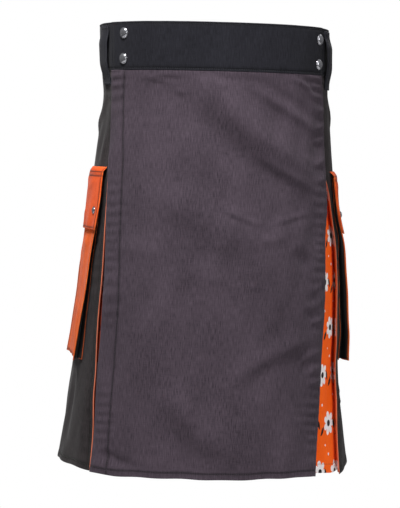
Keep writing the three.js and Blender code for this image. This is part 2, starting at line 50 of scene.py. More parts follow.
# Driving dimensions of the construction
KILT_LENGTH = 612
BAND_HEIGHT = 66
PANEL_TOP = 65.2
INSERT_TOP = 66.3
INSERT_FOOT = 609
PANEL_CLOTH = 1.6
INSERT_CLOTH = 1.2
BAND_CLOTH = 2.2
GUSSET_CLOTH = 1.0
FLAP_CLOTH = 1.8
POCKET_BACK_CLOTH = 1.2
SECTION_POWER = 2.3
LAYER_GAP = 0.5
SEAM = 0.3
LIP_CLEAR = INSERT_CLOTH / 2 + SEAM

# Levels of the layers
PANEL_LEVEL = -PANEL_CLOTH
OVER_LEVEL = 1.0
OVER_HANG = 2.0
BAND_LEVEL = -PANEL_CLOTH
APRON_BAND_LEVEL = BAND_LEVEL + BAND_CLOTH + 0.4
LEG_LEVEL = -PANEL_CLOTH - LAYER_GAP - INSERT_CLOTH / 2
LIP_LEG_LEVEL = -2.3
CROSS_LEVEL = LEG_LEVEL - 3.5
APRON_LEG_LEVEL = OVER_LEVEL - 0.9 - INSERT_CLOTH / 2
PLEAT_DEPTH = 24
PLEAT_SAG = {"most": 3, "gap": (4, 40), "near_share": 0.6}

# Panels, waistband and belt loops
UNDER_APRON_INSET = {"left": 4, "right": 45, "lip": 3}
SIDE_REAR = {-1: (316, 359), 1: (308, 396)}
BACK_FACES = 4
BACK_GAP = {"waist": 2.6, "hem": 28, "opens": 120}
BAND_RUN = {"from": 150, "over": 110}
APRON_BAND_RUN = (-164, 160)
LOOP = {"width": 24, "cloth": 1.6, "top": 4, "foot": 85, "foot_gap": 0.8, "bulge": 4.2}
LOOP_BAR = {"inset": 2, "rows": (-0.7, 0, 0.7)}

# Shares of a loop's length: where it steps in to the panel, and where its bow rises and falls
LOOP_SHAPE = {"in": (0.75, 1), "rise": (0.06, 0.32), "fall": (0.6, 0.94)}
BELT_LOOPS = {
    "belt_loop_front_left": {"arc": -184},
    "belt_loop_front_right": {"arc": 181},
    "belt_loop_back_left": {"fraction": 1.3},
    "belt_loop_back_centre": {"fraction": 1.0},
    "belt_loop_back_right": {"fraction": 0.7},
}

# Snaps
BAND_SNAP = {"radius": 7.5, "dome": 3.4}
POCKET_SNAP = {"radius": 5.2, "dome": 2.2}
BAND_SNAPS = {
    "snap_band_left_upper": (-138, 15.5),
    "snap_band_left_lower": (-140, 50),
    "snap_band_right_upper": (150.5, 17),
    "snap_band_right_lower": (148.5, 51),
}

# Pockets
SIDE_WORDS = {-1: "left", 1: "right"}
POCKET = {"top": 206, "foot": 466, "width": 112, "flare": 10, "foot_flare": 3, "flare_rows": 90}
FLAP = {"top": 198, "foot": 285, "overhang": 4, "kick": 0.5, "kick_rows": 50, "rows": (7, 13)}
POCKET_GAP = 0.5

# How far a pocket's face stands off, at its top and its foot, and how that grows down it
STAND = {"middle": (3.4, 4.8), "edges": (2.2, 12), "full_at": 0.8, "edge_growth": 0.7, "bow": 4}
GUSSET_TUCK = 9
GUSSET_CLEAR = {"top": 14, "foot": 2, "base": 1, "corner": 5}
POCKET_SNAP_DROP = 258
POCKET_SNAP_INSET = 14


def chart_of(columns, rows):
    """A short table as one array for each named column."""
    return dict(zip(columns, np.array(rows, float).T))


SECTIONS = chart_of(
    ("drop", "half_width", "half_depth", "shift_x", "shift_y"),
    [
        (0, 161, 125, -1, 0),
        (66, 159, 124, 1.5, 0),
        (100, 158, 125, 4, 0),
        (134, 161, 128, 4, 1),
        (200, 169, 137, 3, 3),
        (285, 175.5, 144.5, 2, 4.5),
        (385, 182.5, 153, 0.5, 5.5),
        (469, 188, 158.5, -1, 6),
        (564, 198.5, 167.5, -2, 6.5),
        (612, 204.5, 172, -2.5, 6.5),
    ],
)
EDGES = chart_of(
    ("drop", "apron_left", "apron_right", "panel_left", "panel_right"),
    [
        (66, -166, 157.5, -160, 152),
        (100, -171, 160, -164, 154),
        (190, -168, 164.5, -169, 160),
        (210, -168, 164.6, -171.5, 170),
        (240, -168, 164.7, -172.5, 187),
        (290, -167, 164.4, -174, 203.5),
        (360, -165, 163, -177, 213),
        (455, -168.6, 160, -178.6, 212),
        (540, -172, 153.5, -178.8, 209),
        (612, -173.8, 147.5, -179.4, 216),
    ],
)
POCKET_EDGES = chart_of(
    ("drop", "left", "right"),
    [
        (198, 186.5, 198),
        (255, 189, 209),
        (300, 196, 224),
        (350, 202, 238),
        (400, 208, 245),
        (466, 215, 249),
    ],
)
CREASE_COLUMNS = ("from_arc", "from_drop", "to_arc", "to_drop", "bow", "width", "rise")

# The large folds that the construction has too
FOLDS = chart_of(
    CREASE_COLUMNS,
    [
        (60, 88, 160, 172, 0, 18, -1.2),
        (0, 80, 150, 236, 0, 22, 1.6),
        (-60, 104, 120, 258, 0, 24, -1.6),
        (10, 300, 120, 268, 0, 20, 1.4),
        (-120, 330, -70, 600, 0, 34, 1.8),
        (70, 340, 95, 600, 0, 38, 2.0),
        (230, 300, 250, 420, 0, 60, 3.0),
    ],
)
HEM_WAVE = {"rise": 2.6, "length": 157, "opens": 260, "from_front": (190, 260)}

# Creases of the apron, from the waist down. The trough beside a ridge lies to the left of
# the way from its start to its end, seen with drops downwards.
APRON_CREASES = [
    (89, 70, 139, 103, 7, 4, 2.0),
    (29, 82, 151, 151, 1, 7.5, 3.2),
    (-25, 75, 130, 215, -9, 18, 7.2),
    (-72, 87, 121, 228, -18, 18, -3.0),
    (40, 172, 134, 222, -4, 7, 2.6),
    (-41, 72, -115, 77, -4, 3.6, 2.3),
    (-75, 81, -105, 78, -1, 3.4, 1.7),
    (-51, 97, -66, 92, 0, 4, 1.4),
    (-22, 74, 12, 90, -2, 5, 1.5),
    (62, 272, -5, 246, 3, 4, 1.5),
    (129, 254, 71, 270, -1, 4, 1.3),
    (88, 286, 51, 296, 1, 7, 1.2),
    (96, 310, 131, 330, 2, 10, -2.2),
    (-97, 221, 41, 305, 1, 24, 5.2),
    (-140, 300, -84, 322, 4, 14, 1.8),
    (-60, 338, 10, 352, 6, 16, 1.8),
    (162, 112, 140, 117, 1, 4, 1.7),
    (162, 132, 136, 141, 2, 5, 2.0),
    (163, 152, 134, 158, 1, 4, 1.8),
    (164, 178, 128, 190, 3, 5, 1.9),
    (164, 205, 142, 211, 1, 4, 1.5),
    (164, 350, 128, 358, 2, 5, 1.6),
    (163, 372, 116, 384, 3, 6, 2.0),
    (162, 398, 132, 404, 1, 4.5, 1.6),
    (152, 426, 14, 490, -15, 12, 3.4),
    (160, 446, 112, 462, -5, 6, 2.3),
    (160, 466, 128, 476, -3, 5, 1.8),
    (159, 484, 126, 492, -2, 5, 1.5),
    (25, 588, -78, 484, 5, 20, 6.4),
    (-171, 577, -97, 600, -2, 6, -1.9),
    (-166, 598, -100, 614, -2, 12, 2.8),
    (-60, 380, -74, 470, 5, 22, 1.8),
    (40, 520, 66, 606, -6, 20, 2.2),
    (112, 520, 104, 606, 4, 16, 2.0),
]

# Creases of the sides and the back, which the photograph hides or shows edge on
SIDE_CREASES = [
    (-196, 92, -262, 150, 8, 8, 0.9),
    (-240, 84, -318, 172, 10, 11, -1.0),
    (-300, 90, -352, 140, 5, 7, 0.7),
    (-188, 150, -196, 200, 2, 6, 0.5),
    (-186, 480, -214, 596, 8, 12, 0.9),
    (-250, 478, -262, 600, -6, 14, -0.9),
    (-330, 240, -352, 420, 7, 16, 0.9),
    (202, 92, 268, 158, -8, 8, 0.9),
    (246, 86, 322, 166, -10, 12, -1.0),
    (330, 100, 372, 190, -5, 9, 0.7),
    (224, 482, 240, 598, -8, 13, 0.9),
    (296, 476, 310, 602, 6, 15, -0.9),
    (352, 260, 380, 430, -6, 15, 0.8),
    (380, 88, 430, 176, 8, 9, 0.8),
    (404, 300, 414, 590, 8, 17, 0.8),
    (-372, 96, -432, 190, -8, 10, 0.8),
    (-398, 330, -420, 596, 6, 18, -0.8),
    (462, 82, 486, 190, 5, 10, -0.7),
    (-470, 84, -446, 196, -5, 11, 0.7),
    (-486, 380, -508, 600, 6, 15, 0.9),
    (486, 340, 500, 600, -6, 16, -0.8),
]
HIDDEN_DEPTH = 3.4
CREASES = chart_of(CREASE_COLUMNS, APRON_CREASES + SIDE_CREASES)
CREASES["rise"][len(APRON_CREASES) :] *= HIDDEN_DEPTH

# A crease fades in and out over shares of its run. The trough beside it is given by shares of
# its rise and of its width, and a construction fold's soft end by a share of its run.
CREASE_FADE = {"in": (-0.08, 0.35), "out": (0.6, 1.08)}
TROUGH = {"depth": 0.4, "aside": 1.7, "width": 1.3}
FOLD_END = 0.25

# Creases of a pocket, from its front edge and down from the waist, and their depth by side
PUFF = {-1: 2.0, 1: 1.5}
POCKET_CREASES = chart_of(
    CREASE_COLUMNS,
    [
        (14, 216, 58, 236, 3, 6, 0.5),
        (70, 222, 116, 214, 3, 7, 0.4),
        (40, 262, 96, 270, 3, 8, 0.5),
        (18, 300, 74, 322, 5, 9, 0.8),
        (100, 296, 60, 346, 5, 10, 0.7),
        (22, 372, 50, 448, 5, 9, 0.8),
        (104, 366, 88, 450, -4, 10, 0.8),
        (50, 404, 84, 398, 4, 7, 0.5),
    ],
)

# Small unevenness of all the cloth: waves round and down the body, with seeded places
UNEVEN = {"seed": 41, "waves": 22, "round": (7, 34), "down": (60, 320), "rise": 0.16, "at_band": 0.6}

# Drops by which the cloth below the waistband has taken up each kind of relief
SETTLES = {"folds": BAND_HEIGHT + 40, "creases": BAND_HEIGHT + 12, "uneven": 160}

# The hem hangs lower at the right side panel's leading corner, and unevenly all round: how many
# waves to a round, where they start and their share
HEM_CORNER = {"dip": 8, "rises": (140, 212), "falls": (226, 300), "from_drop": 470}
HEM_UNEVEN = {"dip": 0.7, "waves": ((8, 1.1, 1), (21, 0.4, 0.6)), "from_drop": 560}

SECTION_STEP = 2
ANGLE_STEPS = 720
SHARE_STEPS = 1440


def smoothstep(start, end, value):
    t = np.clip((value - start) / (end - start), 0, 1)
    return t * t * (3 - 2 * t)


def mix(start, end, t):
    return start + (end - start) * t


def bell(far, width):
    """One at no distance, fading smoothly away over a width."""
    return np.exp(-((far / width) ** 2))


def wander(v, waves):
    """A sum of slow waves, each given by its length, its start and its height."""
    return sum(high * np.sin(v / long + start) for long, start, high in waves)


def column(chart, name, drop):
    """A smooth curve through one named column, read at drops: cubic pieces whose slopes are
    those between each row's two neighbours."""
    at, value = chart["drop"], chart[name]
    last = len(at) - 1
    rows = np.arange(last + 1)
    before, after = np.maximum(rows - 1, 0), np.minimum(rows + 1, last)
    slope = (value[after] - value[before]) / (at[after] - at[before])
    held = np.clip(drop, at[0], at[last])
    row = np.clip(np.searchsorted(at, held) - 1, 0, last - 1)
    span = at[row + 1] - at[row]
    t = (held - at[row]) / span
    t2, t3 = t * t, t * t * t
    return (
        (2 * t3 - 3 * t2 + 1) * value[row]
        + (t3 - 2 * t2 + t) * span * slope[row]
        + (3 * t2 - 2 * t3) * value[row + 1]
        + (t3 - t2) * span * slope[row + 1]
    )


def body_rings():
    """Rings of the body at even drops. Each is a superellipse, with points and outward normals
    resampled at even shares of its perimeter, starting at the middle of the back."""
    drops = np.arange(0, KILT_LENGTH + SECTION_STEP, SECTION_STEP, dtype=float)
    angle = math.pi * np.linspace(-1, 1, ANGLE_STEPS + 1)
    size = {name: column(SECTIONS, name, drops)[:, None] for name in SECTIONS if name != "drop"}

    def power(value, exponent):
        return np.sign(value) * np.abs(value) ** exponent

    sideways = power(np.sin(angle), 2 / SECTION_POWER)
    forward = power(-np.cos(angle), 2 / SECTION_POWER)
    x = size["half_width"] * sideways + size["shift_x"]
    y = size["half_depth"] * forward + size["shift_y"]
    normal_x = power(sideways, SECTION_POWER - 1) / size["half_width"]
    normal_y = power(forward, SECTION_POWER - 1) / size["half_depth"]
    long = np.hypot(normal_x, normal_y)
    steps = np.hypot(np.diff(x), np.diff(y))
    arcs = np.concatenate([np.zeros((len(drops), 1)), np.cumsum(steps, axis=1)], axis=1)
    shares = np.linspace(0, 1, SHARE_STEPS + 1)
    rings = np.stack([x, y, normal_x / long, normal_y / long], axis=-1)
    even = [
        [np.interp(shares * arc[-1], arc, ring[:, k]) for k in range(4)]
        for arc, ring in zip(arcs, rings)
    ]
    return {
        "drops": drops,
        "perimeter": arcs[:, -1],
        "back": arcs[:, ANGLE_STEPS // 2],
        "rings": np.moveaxis(np.array(even), 1, 2),
    }


BODY = body_rings()


def perimeter_at(drop):
    return np.interp(drop, BODY["drops"], BODY["perimeter"])


def back_at(drop):
    """The arc of the middle of the back, going round by the right."""
    return np.interp(drop, BODY["drops"], BODY["back"])


def crease_rise(chart, arc, drop, soft_ends, turn=None):
    """The sum of soft ridges and troughs. Each is a bell across a bowed line, with a shallow
    trough beside it, and fades out at its ends. An arc is measured the short way round."""
    total = np.zeros(np.broadcast(arc, drop).shape)
    for row in zip(*(chart[name] for name in CREASE_COLUMNS)):
        from_arc, from_drop, to_arc, to_drop, bow, width, rise = row
        along_arc, along_drop = to_arc - from_arc, to_drop - from_drop
        run = math.hypot(along_arc, along_drop)
        far = arc - from_arc
        if turn is not None:
            far = (far + turn / 2) % turn - turn / 2
        aside = (far * along_drop - (drop - from_drop) * along_arc) / run
        along = (far * along_arc + (drop - from_drop) * along_drop) / run
        if soft_ends:
            t = along / run
            aside = aside - bow * 4 * t * (1 - t)
            ends = smoothstep(*CREASE_FADE["in"], t) * (1 - smoothstep(*CREASE_FADE["out"], t))
            beside = TROUGH["depth"] * bell(aside - TROUGH["aside"] * width, TROUGH["width"] * width)
        else:
            ends = bell(np.maximum(np.maximum(-along, along - run), 0), FOLD_END * run)
            beside = 0
        total += rise * ends * (bell(aside, width) - beside)
    return total


def uneven_rise(share, drop):
    """Small waves of the cloth, whole in number round the body so that they meet at the back."""
    random = np.random.default_rng(UNEVEN["seed"])
    total = np.zeros(np.broadcast(share, drop).shape)
    for _ in range(UNEVEN["waves"]):
        around = random.integers(*UNEVEN["round"])
        down = random.uniform(*UNEVEN["down"])
        start = random.uniform(0, 2 * math.pi)
        lean = random.choice((-1, 1))
        total += UNEVEN["rise"] * np.sin(2 * math.pi * (around * share + lean * drop / down) + start)
    return total


def drape(arc, drop, share):
    """How far folds, creases, the hem's waves and the unevenness move the body surface out."""
    round_body = perimeter_at(drop)
    large = crease_rise(FOLDS, arc, drop, soft_ends=False)
    from_front = np.minimum(np.abs(arc), np.minimum(np.abs(round_body - arc), np.abs(round_body + arc)))
    wave = np.cos(2 * math.pi * from_front / HEM_WAVE["length"])
    wave = wave * smoothstep(*HEM_WAVE["from_front"], from_front)
    wave = wave * smoothstep(HEM_WAVE["opens"], KILT_LENGTH, drop)
    large = (large + HEM_WAVE["rise"] * wave) * smoothstep(BAND_HEIGHT, SETTLES["folds"], drop)
    fine = crease_rise(CREASES, arc, drop, soft_ends=True, turn=round_body)
    fine = fine * smoothstep(BAND_HEIGHT, SETTLES["creases"], drop)
    settled = smoothstep(BAND_HEIGHT, SETTLES["uneven"], drop)
    return large + fine + uneven_rise(share, drop) * mix(UNEVEN["at_band"], 1, settled)


def hem_dip(share, arc, drop):
    """How much lower than its drop the cloth hangs near the hem: most at the right side
    panel's leading corner, and a little unevenly all round."""
    corner = smoothstep(*HEM_CORNER["rises"], arc) * (1 - smoothstep(*HEM_CORNER["falls"], arc))
    corner = corner * smoothstep(HEM_CORNER["from_drop"], KILT_LENGTH, drop)
    waves = HEM_UNEVEN["waves"]
    uneven = sum(high * np.sin(2 * math.pi * count * share + start) for count, start, high in waves)
    uneven = uneven * smoothstep(HEM_UNEVEN["from_drop"], KILT_LENGTH, drop)
    return HEM_CORNER["dip"] * corner + HEM_UNEVEN["dip"] * uneven


def spot(arc, drop, level):
    """Points on the draped body at arcs and drops, moved out to levels. A ring's place is read
    between its four nearest samples."""
    arc, drop, level = np.broadcast_arrays(*(np.asarray(a, float) for a in (arc, drop, level)))
    round_body, back = perimeter_at(drop), back_at(drop)
    share = ((arc + back) / round_body) % 1
    row = np.clip(drop / SECTION_STEP, 0, len(BODY["drops"]) - 1.001)
    step = share * SHARE_STEPS
    i, j = row.astype(int), np.minimum(step.astype(int), SHARE_STEPS - 1)
    s, t = (row - i)[..., None], (step - j)[..., None]
    rings = BODY["rings"]
    upper = mix(rings[i, j], rings[i, j + 1], t)
    lower = mix(rings[i + 1, j], rings[i + 1, j + 1], t)
    place = mix(upper, lower, s)
    normal = place[..., 2:] / np.linalg.norm(place[..., 2:], axis=-1, keepdims=True)
    turned = share * round_body - back
    flat = place[..., :2] + normal * (level + drape(turned, drop, share))[..., None]
    height = BAND_HEIGHT / 2 - drop - hem_dip(share, turned, drop)
    return np.concatenate([flat, height[..., None]], axis=-1)


def over_hang(drop):
    """The over-apron swings a little further out towards its hem."""
    return OVER_HANG * smoothstep(BAND_HEIGHT, KILT_LENGTH, drop)


NEAR_END = (0, 1.2, 2.6)
NEAR_SEAM = (-1.6, -0.7, 0, 0.7, 1.6)
LEAST_STEP = 0.35


def grid_lines(length, step, seams=()):
    """Even lines along a length, with close ones beside its ends and each seam row."""
    near = [*NEAR_END, *(length - far for far in NEAR_END)]
    for seam in seams:
        near += [seam + shift for shift in NEAR_SEAM]
    near = np.unique(np.round([n for n in near if 0 <= n <= length], 4))
    near = near[np.concatenate([[True], np.diff(near) > LEAST_STEP])]
    near[-1] = length
    even = np.linspace(0, length, max(int(round(length / step)), 2) + 1)
    apart = np.abs(even[:, None] - near).min(axis=1)
    return np.sort(np.concatenate([near, even[apart > 0.45 * min(step, 3)]]))


def border(rows, columns):
    """Row and column numbers round a grid's edge: along the top, down the right side, back
    along the foot and up the left side."""
    across, down = np.arange(columns), np.arange(rows)
    row = [0 * across[:-1], down[:-1], 0 * across[:-1] + rows - 1, down[:0:-1]]
    col = [across[:-1], 0 * down[:-1] + columns - 1, across[:0:-1], 0 * down[:-1]]
    return np.concatenate(row), np.concatenate(col)


def shell(place, u_lines, v_lines, rim_u, rim_v):
    """A closed thin wall over a grid. Its outer and inner faces stop a rim short of the edge,
    and a ring half way between them lies on the edge itself, which rounds it. Gives points,
    flat coordinates, quads, and the grid place of each point."""
    u_in, v_in = u_lines.copy(), v_lines.copy()
    u_in[[0, -1]] += (rim_u, -rim_u)
    v_in[[0, -1]] += (rim_v, -rim_v)
    u, v = np.meshgrid(u_in, v_in)
    rows, columns = u.shape
    row, col = border(rows, columns)
    ring_u, ring_v = u_lines[col], v_lines[row]
    parts = [place(u, v, 1.0), place(u, v, 0.0), place(ring_u, ring_v, 0.5)]
    points = np.concatenate([at.reshape(-1, 3) for at, _ in parts])
    flat = np.concatenate([on.reshape(-1, 2) for _, on in parts])
    corner = (np.arange(rows - 1)[:, None] * columns + np.arange(columns - 1)).ravel()
    outer = np.stack([corner, corner + columns, corner + columns + 1, corner + 1], axis=1)
    behind = rows * columns
    edge = row * columns + col
    after = np.roll(edge, -1)
    ring = 2 * behind + np.arange(len(edge))
    ring_after = np.roll(ring, -1)
    quads = np.concatenate(
        [
            outer,
            outer[:, ::-1] + behind,
            np.stack([edge, after, ring_after, ring], axis=1),
            np.stack([ring, ring_after, after + behind, edge + behind], axis=1),
        ]
    )
    grid = np.stack(
        [
            np.concatenate([u.ravel(), u.ravel(), ring_u]),
            np.concatenate([v.ravel(), v.ravel(), ring_v]),
        ],
        axis=1,
    )
    return points, flat, quads, grid


def ring_quads(rings, sides):
    """Faces between rings of points that follow each other, each ring closed on itself."""
    ring, side = np.arange(rings - 1)[:, None], np.arange(sides)
    near, beside = ring * sides + side, ring * sides + (side + 1) % sides
    return np.stack([near, beside, beside + sides, near + sides], axis=-1).reshape(-1, 4)


def end_caps(rings, sides):
    """The two faces that close the first and the last ring."""
    side = np.arange(sides)
    return np.stack([side[::-1], side + (rings - 1) * sides])


def write_mesh(name, points, faces, flat=None, marks=None):
    """A new piece from points in millimetres and arrays of faces, turned so that its volume is
    positive. flat is written as a UV map in metres, and each mark as a number on each point."""
    volume = 0
    for face in faces:
        for k in range(1, face.shape[1] - 1):
            a, b, c = points[face[:, 0]], points[face[:, k]], points[face[:, k + 1]]
            volume += (a * np.cross(b, c)).sum()
    if volume < 0:
        faces = [face[:, ::-1] for face in faces]
    corners = np.concatenate([face.ravel() for face in faces]).astype(np.int32)
    sizes = np.concatenate([np.full(len(face), face.shape[1]) for face in faces]).astype(np.int32)
    mesh = bpy.data.meshes.new(name)
    mesh.vertices.add(len(points))
    mesh.vertices.foreach_set("co", (points * MM).astype(np.float32).ravel())
    mesh.loops.add(len(corners))
    mesh.loops.foreach_set("vertex_index", corners)
    mesh.polygons.add(len(sizes))
    mesh.polygons.foreach_set("loop_start", (np.cumsum(sizes) - sizes).astype(np.int32))
    mesh.polygons.foreach_set("loop_total", sizes)
    mesh.polygons.foreach_set("use_smooth", np.ones(len(sizes), bool))
    if flat is not None:
        layer = mesh.uv_layers.new(name="cloth")
        layer.uv.foreach_set("vector", (flat[corners] * MM).astype(np.float32).ravel())
    for mark, values in (marks or {}).items():
        attribute = mesh.attributes.new(mark, "FLOAT", "POINT")
        attribute.data.foreach_set("value", values.astype(np.float32))
    mesh.update(calc_edges=True)
    mesh.validate()
    piece = bpy.data.objects.new(name, mesh)
    bpy.context.scene.collection.objects.link(piece)
    return piece


def finish_piece(piece, slot, material, node=None):
    """Gives a piece its material, and has it ride on the kilt's one body; the slot is not used."""
    piece.data.materials.append(material)
    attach(piece, "root")
    if node:
        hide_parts(node)


RUBBED_EDGE = 1.8


def edge_wear(grid, u_lines, v_lines):
    """Rubbing along the edges of a piece: one at its edge, fading within a few millimetres."""
    u, v = grid.T
    inside = np.minimum(
        np.minimum(u - u_lines[0], u_lines[-1] - u), np.minimum(v - v_lines[0], v_lines[-1] - v)
    )
    return bell(inside, RUBBED_EDGE)


def cut_size(place, u_lines, v_lines):
    """The flat size of a piece's cut: its widest row, its longest column and its area."""
    u, v = np.meshgrid(u_lines, v_lines)
    middle = place(u, v, 0.5)[0] * MM
    across, down = np.diff(middle, axis=1), np.diff(middle, axis=0)
    widest = np.linalg.norm(across, axis=-1).sum(axis=1).max()
    longest = np.linalg.norm(down, axis=-1).sum(axis=0).max()
    area = np.linalg.norm(np.cross(across[:-1], down[:, :-1]), axis=-1).sum()
    return (widest, longest), min(area, widest * longest)


def cloth_piece(node, finish, place, u_lines, v_lines, cloth, rims=None, marks=None):
    rim_u, rim_v = rims or (0.42 * cloth, 0.42 * cloth)
    points, flat, quads, grid = shell(place, u_lines, v_lines, rim_u, rim_v)
    numbers = {"wear": edge_wear(grid, u_lines, v_lines)}
    numbers.update({name: mark(grid) for name, mark in (marks or {}).items()})
    piece = write_mesh(f"{node}_cloth", points, [quads], flat, numbers)
    finish_piece(piece, SLOTS.get(finish, finish), MATERIALS[finish], node)
    size, area = cut_size(place, u_lines, v_lines)


# Seams: rows of stitches parallel to an edge, with a hem's second layer out to the row
EDGE_WORDS = ("left", "right", "top", "foot")
SEAM_INSET = 3
GROOVE = {"plain": 0.55, "fine": 0.25, "width": 1.2}
HEM_STEP = {"from": 0.6, "to": 2.4}
SEAM_MARK = 1.5


def seam_row(edge, inset=SEAM_INSET, groove=GROOVE["plain"], hem=0.0):
    """One row of stitches: its edge, its inset, its groove's depth and its hem's second layer."""
    return {"edge": edge, "inset": inset, "groove": groove, "hem": hem}


def fine_rows(*edges):
    """Rows close to the named edges, whose grooves are slight."""
    return [seam_row(edge, groove=GROOVE["fine"]) for edge in edges]


def seam_distance(seam, u, v, width, length):
    """How far inside its own edge a point lies."""
    return {"left": u, "right": width - u, "top": v, "foot": length - v}[seam["edge"]]


def seam_relief(seams, u, v, width, length):
    """A groove along each seam row, and a slight step where a hem's turned cloth ends."""
    total = np.zeros(np.broadcast(u, v).shape)
    for seam in seams:
        far = seam_distance(seam, u, v, width, length)
        beyond = far - seam["inset"]
        total -= seam["groove"] * bell(beyond, GROOVE["width"])
        total += seam["hem"] * (1 - smoothstep(HEM_STEP["from"], HEM_STEP["to"], beyond))
    return total


def seam_mark(seams, u, v, width, length):
    """How close a point is to a seam row: one on it, fading within a couple of millimetres."""
    far = [np.abs(seam_distance(seam, u, v, width, length) - seam["inset"]) for seam in seams]
    return bell(np.min(far, axis=0), SEAM_MARK) if far else 0 * u


def seamed_lines(seams, width, length, step_u, step_v):
    """Grid lines across and down a piece, with close ones at its seam rows."""
    insets = {edge: [s["inset"] for s in seams if s["edge"] == edge] for edge in EDGE_WORDS}
    across = insets["left"] + [width - inset for inset in insets["right"]]
    down = insets["top"] + [length - inset for inset in insets["foot"]]
    return grid_lines(width, step_u, across), grid_lines(length, step_v, down)


def seam_ends(seam, width, length):
    """The two ends of a seam row on its piece."""
    inset, clear = seam["inset"], 1.5
    rows = {
        "left": ((inset, clear), (inset, length - clear)),
        "right": ((width - inset, clear), (width - inset, length - clear)),
        "top": ((clear, inset), (width - clear, inset)),
        "foot": ((clear, length - inset), (width - clear, length - inset)),
    }
    return rows[seam["edge"]]


STITCH = {"pitch": 3.1, "long": 2.4, "radius": 0.3, "sides": 5}

# A stitch's rings: shares of its length along it, shares of its radius, and lifts off the cloth
STITCH_RINGS = np.array([(-0.5, 0.35, -0.16), (-0.3, 1, 0.1), (0.3, 1, 0.1), (0.5, 0.35, -0.16)])
ROW_SAMPLES = 600
stitch_rows = {}


def sew(thread, place, start, end):
    """Works out one row of stitches between two places on a piece: their middles, directions
    and the cloth's normals, an even pitch apart along the outer face."""
    t = np.linspace(0, 1, ROW_SAMPLES)
    u, v = mix(start[0], end[0], t), mix(start[1], end[1], t)
    line = place(u, v, 1.0)[0]
    run = np.concatenate([[0], np.cumsum(np.linalg.norm(np.diff(line, axis=0), axis=1))])
    count = int(run[-1] / STITCH["pitch"])
    if count < 1:
        return
    at = np.interp((np.arange(count) + 0.5) * run[-1] / count, run, t)
    u, v = mix(start[0], end[0], at), mix(start[1], end[1], at)
    little = 0.4
    middle = place(u, v, 1.0)[0]
    across = place(u + little, v, 1.0)[0] - place(u - little, v, 1.0)[0]
    down = place(u, v + little, 1.0)[0] - place(u, v - little, 1.0)[0]
    normal = np.cross(down, across)
    way = (end[0] - start[0]) * across + (end[1] - start[1]) * down
    normal /= np.linalg.norm(normal, axis=1, keepdims=True)
    way /= np.linalg.norm(way, axis=1, keepdims=True)
    radial = spot_normal(middle)
    normal *= np.sign((normal * radial).sum(axis=1, keepdims=True))
    stitch_rows.setdefault(thread, []).append((middle, way, normal))


def sewn_piece(node, finish, place, size, steps, seams, cloth):
    """A piece of cloth with its seam rows pressed in, marked and sewn."""
    u_lines, v_lines = seamed_lines(seams, *size, *steps)
    marks = {"seam": lambda grid: seam_mark(seams, *grid.T, *size)}
    cloth_piece(node, finish, place, u_lines, v_lines, cloth, marks=marks)
    for seam in seams:
        sew(SLOTS.get(finish, finish), place, *seam_ends(seam, *size))


def spot_normal(points):
    """Directions away from the kilt's upright axis, which tell outside from inside."""
    flat = points * (1, 1, 0)
    return flat / np.linalg.norm(flat, axis=1, keepdims=True)


def sewing(thread, slot, material):
    """All the stitches of one thread as one joined mesh. A stitch is a short rounded bar with
    tapered ends that dip into the cloth."""
    middle, way, normal = (np.concatenate(part) for part in zip(*stitch_rows[thread]))
    along, girth, lift = (STITCH_RINGS * (STITCH["long"], STITCH["radius"], 1)).T
    angle = 2 * math.pi * np.arange(STITCH["sides"]) / STITCH["sides"]
    aside = np.cross(way, normal)
    ring = aside[:, None] * np.cos(angle)[:, None] + normal[:, None] * np.sin(angle)[:, None]
    ring = ring[:, None]
    points = (
        middle[:, None, None]
        + way[:, None, None] * along[:, None, None]
        + normal[:, None, None] * lift[:, None, None]
        + ring * girth[:, None, None]
    )
    count, rings, sides = points.shape[:3]
    first = np.arange(count)[:, None, None] * rings * sides
    body, caps = ring_quads(rings, sides), end_caps(rings, sides)
    faces = [(first + body).reshape(-1, 4), (first + caps).reshape(-1, sides)]
    finish_piece(write_mesh(f"stitches_{thread}", points.reshape(-1, 3), faces), slot, material)


# Finishes
def linear(red, green, blue):
    """A colour given as it looks on a screen, 0 to 255, in the renderer's own scale."""
    share = np.array([red, green, blue]) / 255
    return tuple(np.where(share <= 0.04045, share / 12.92, ((share + 0.055) / 1.055) ** 2.4)) + (1.0,)


COLOUR_MIX = {"first": 6, "second": 7, "result": 2}


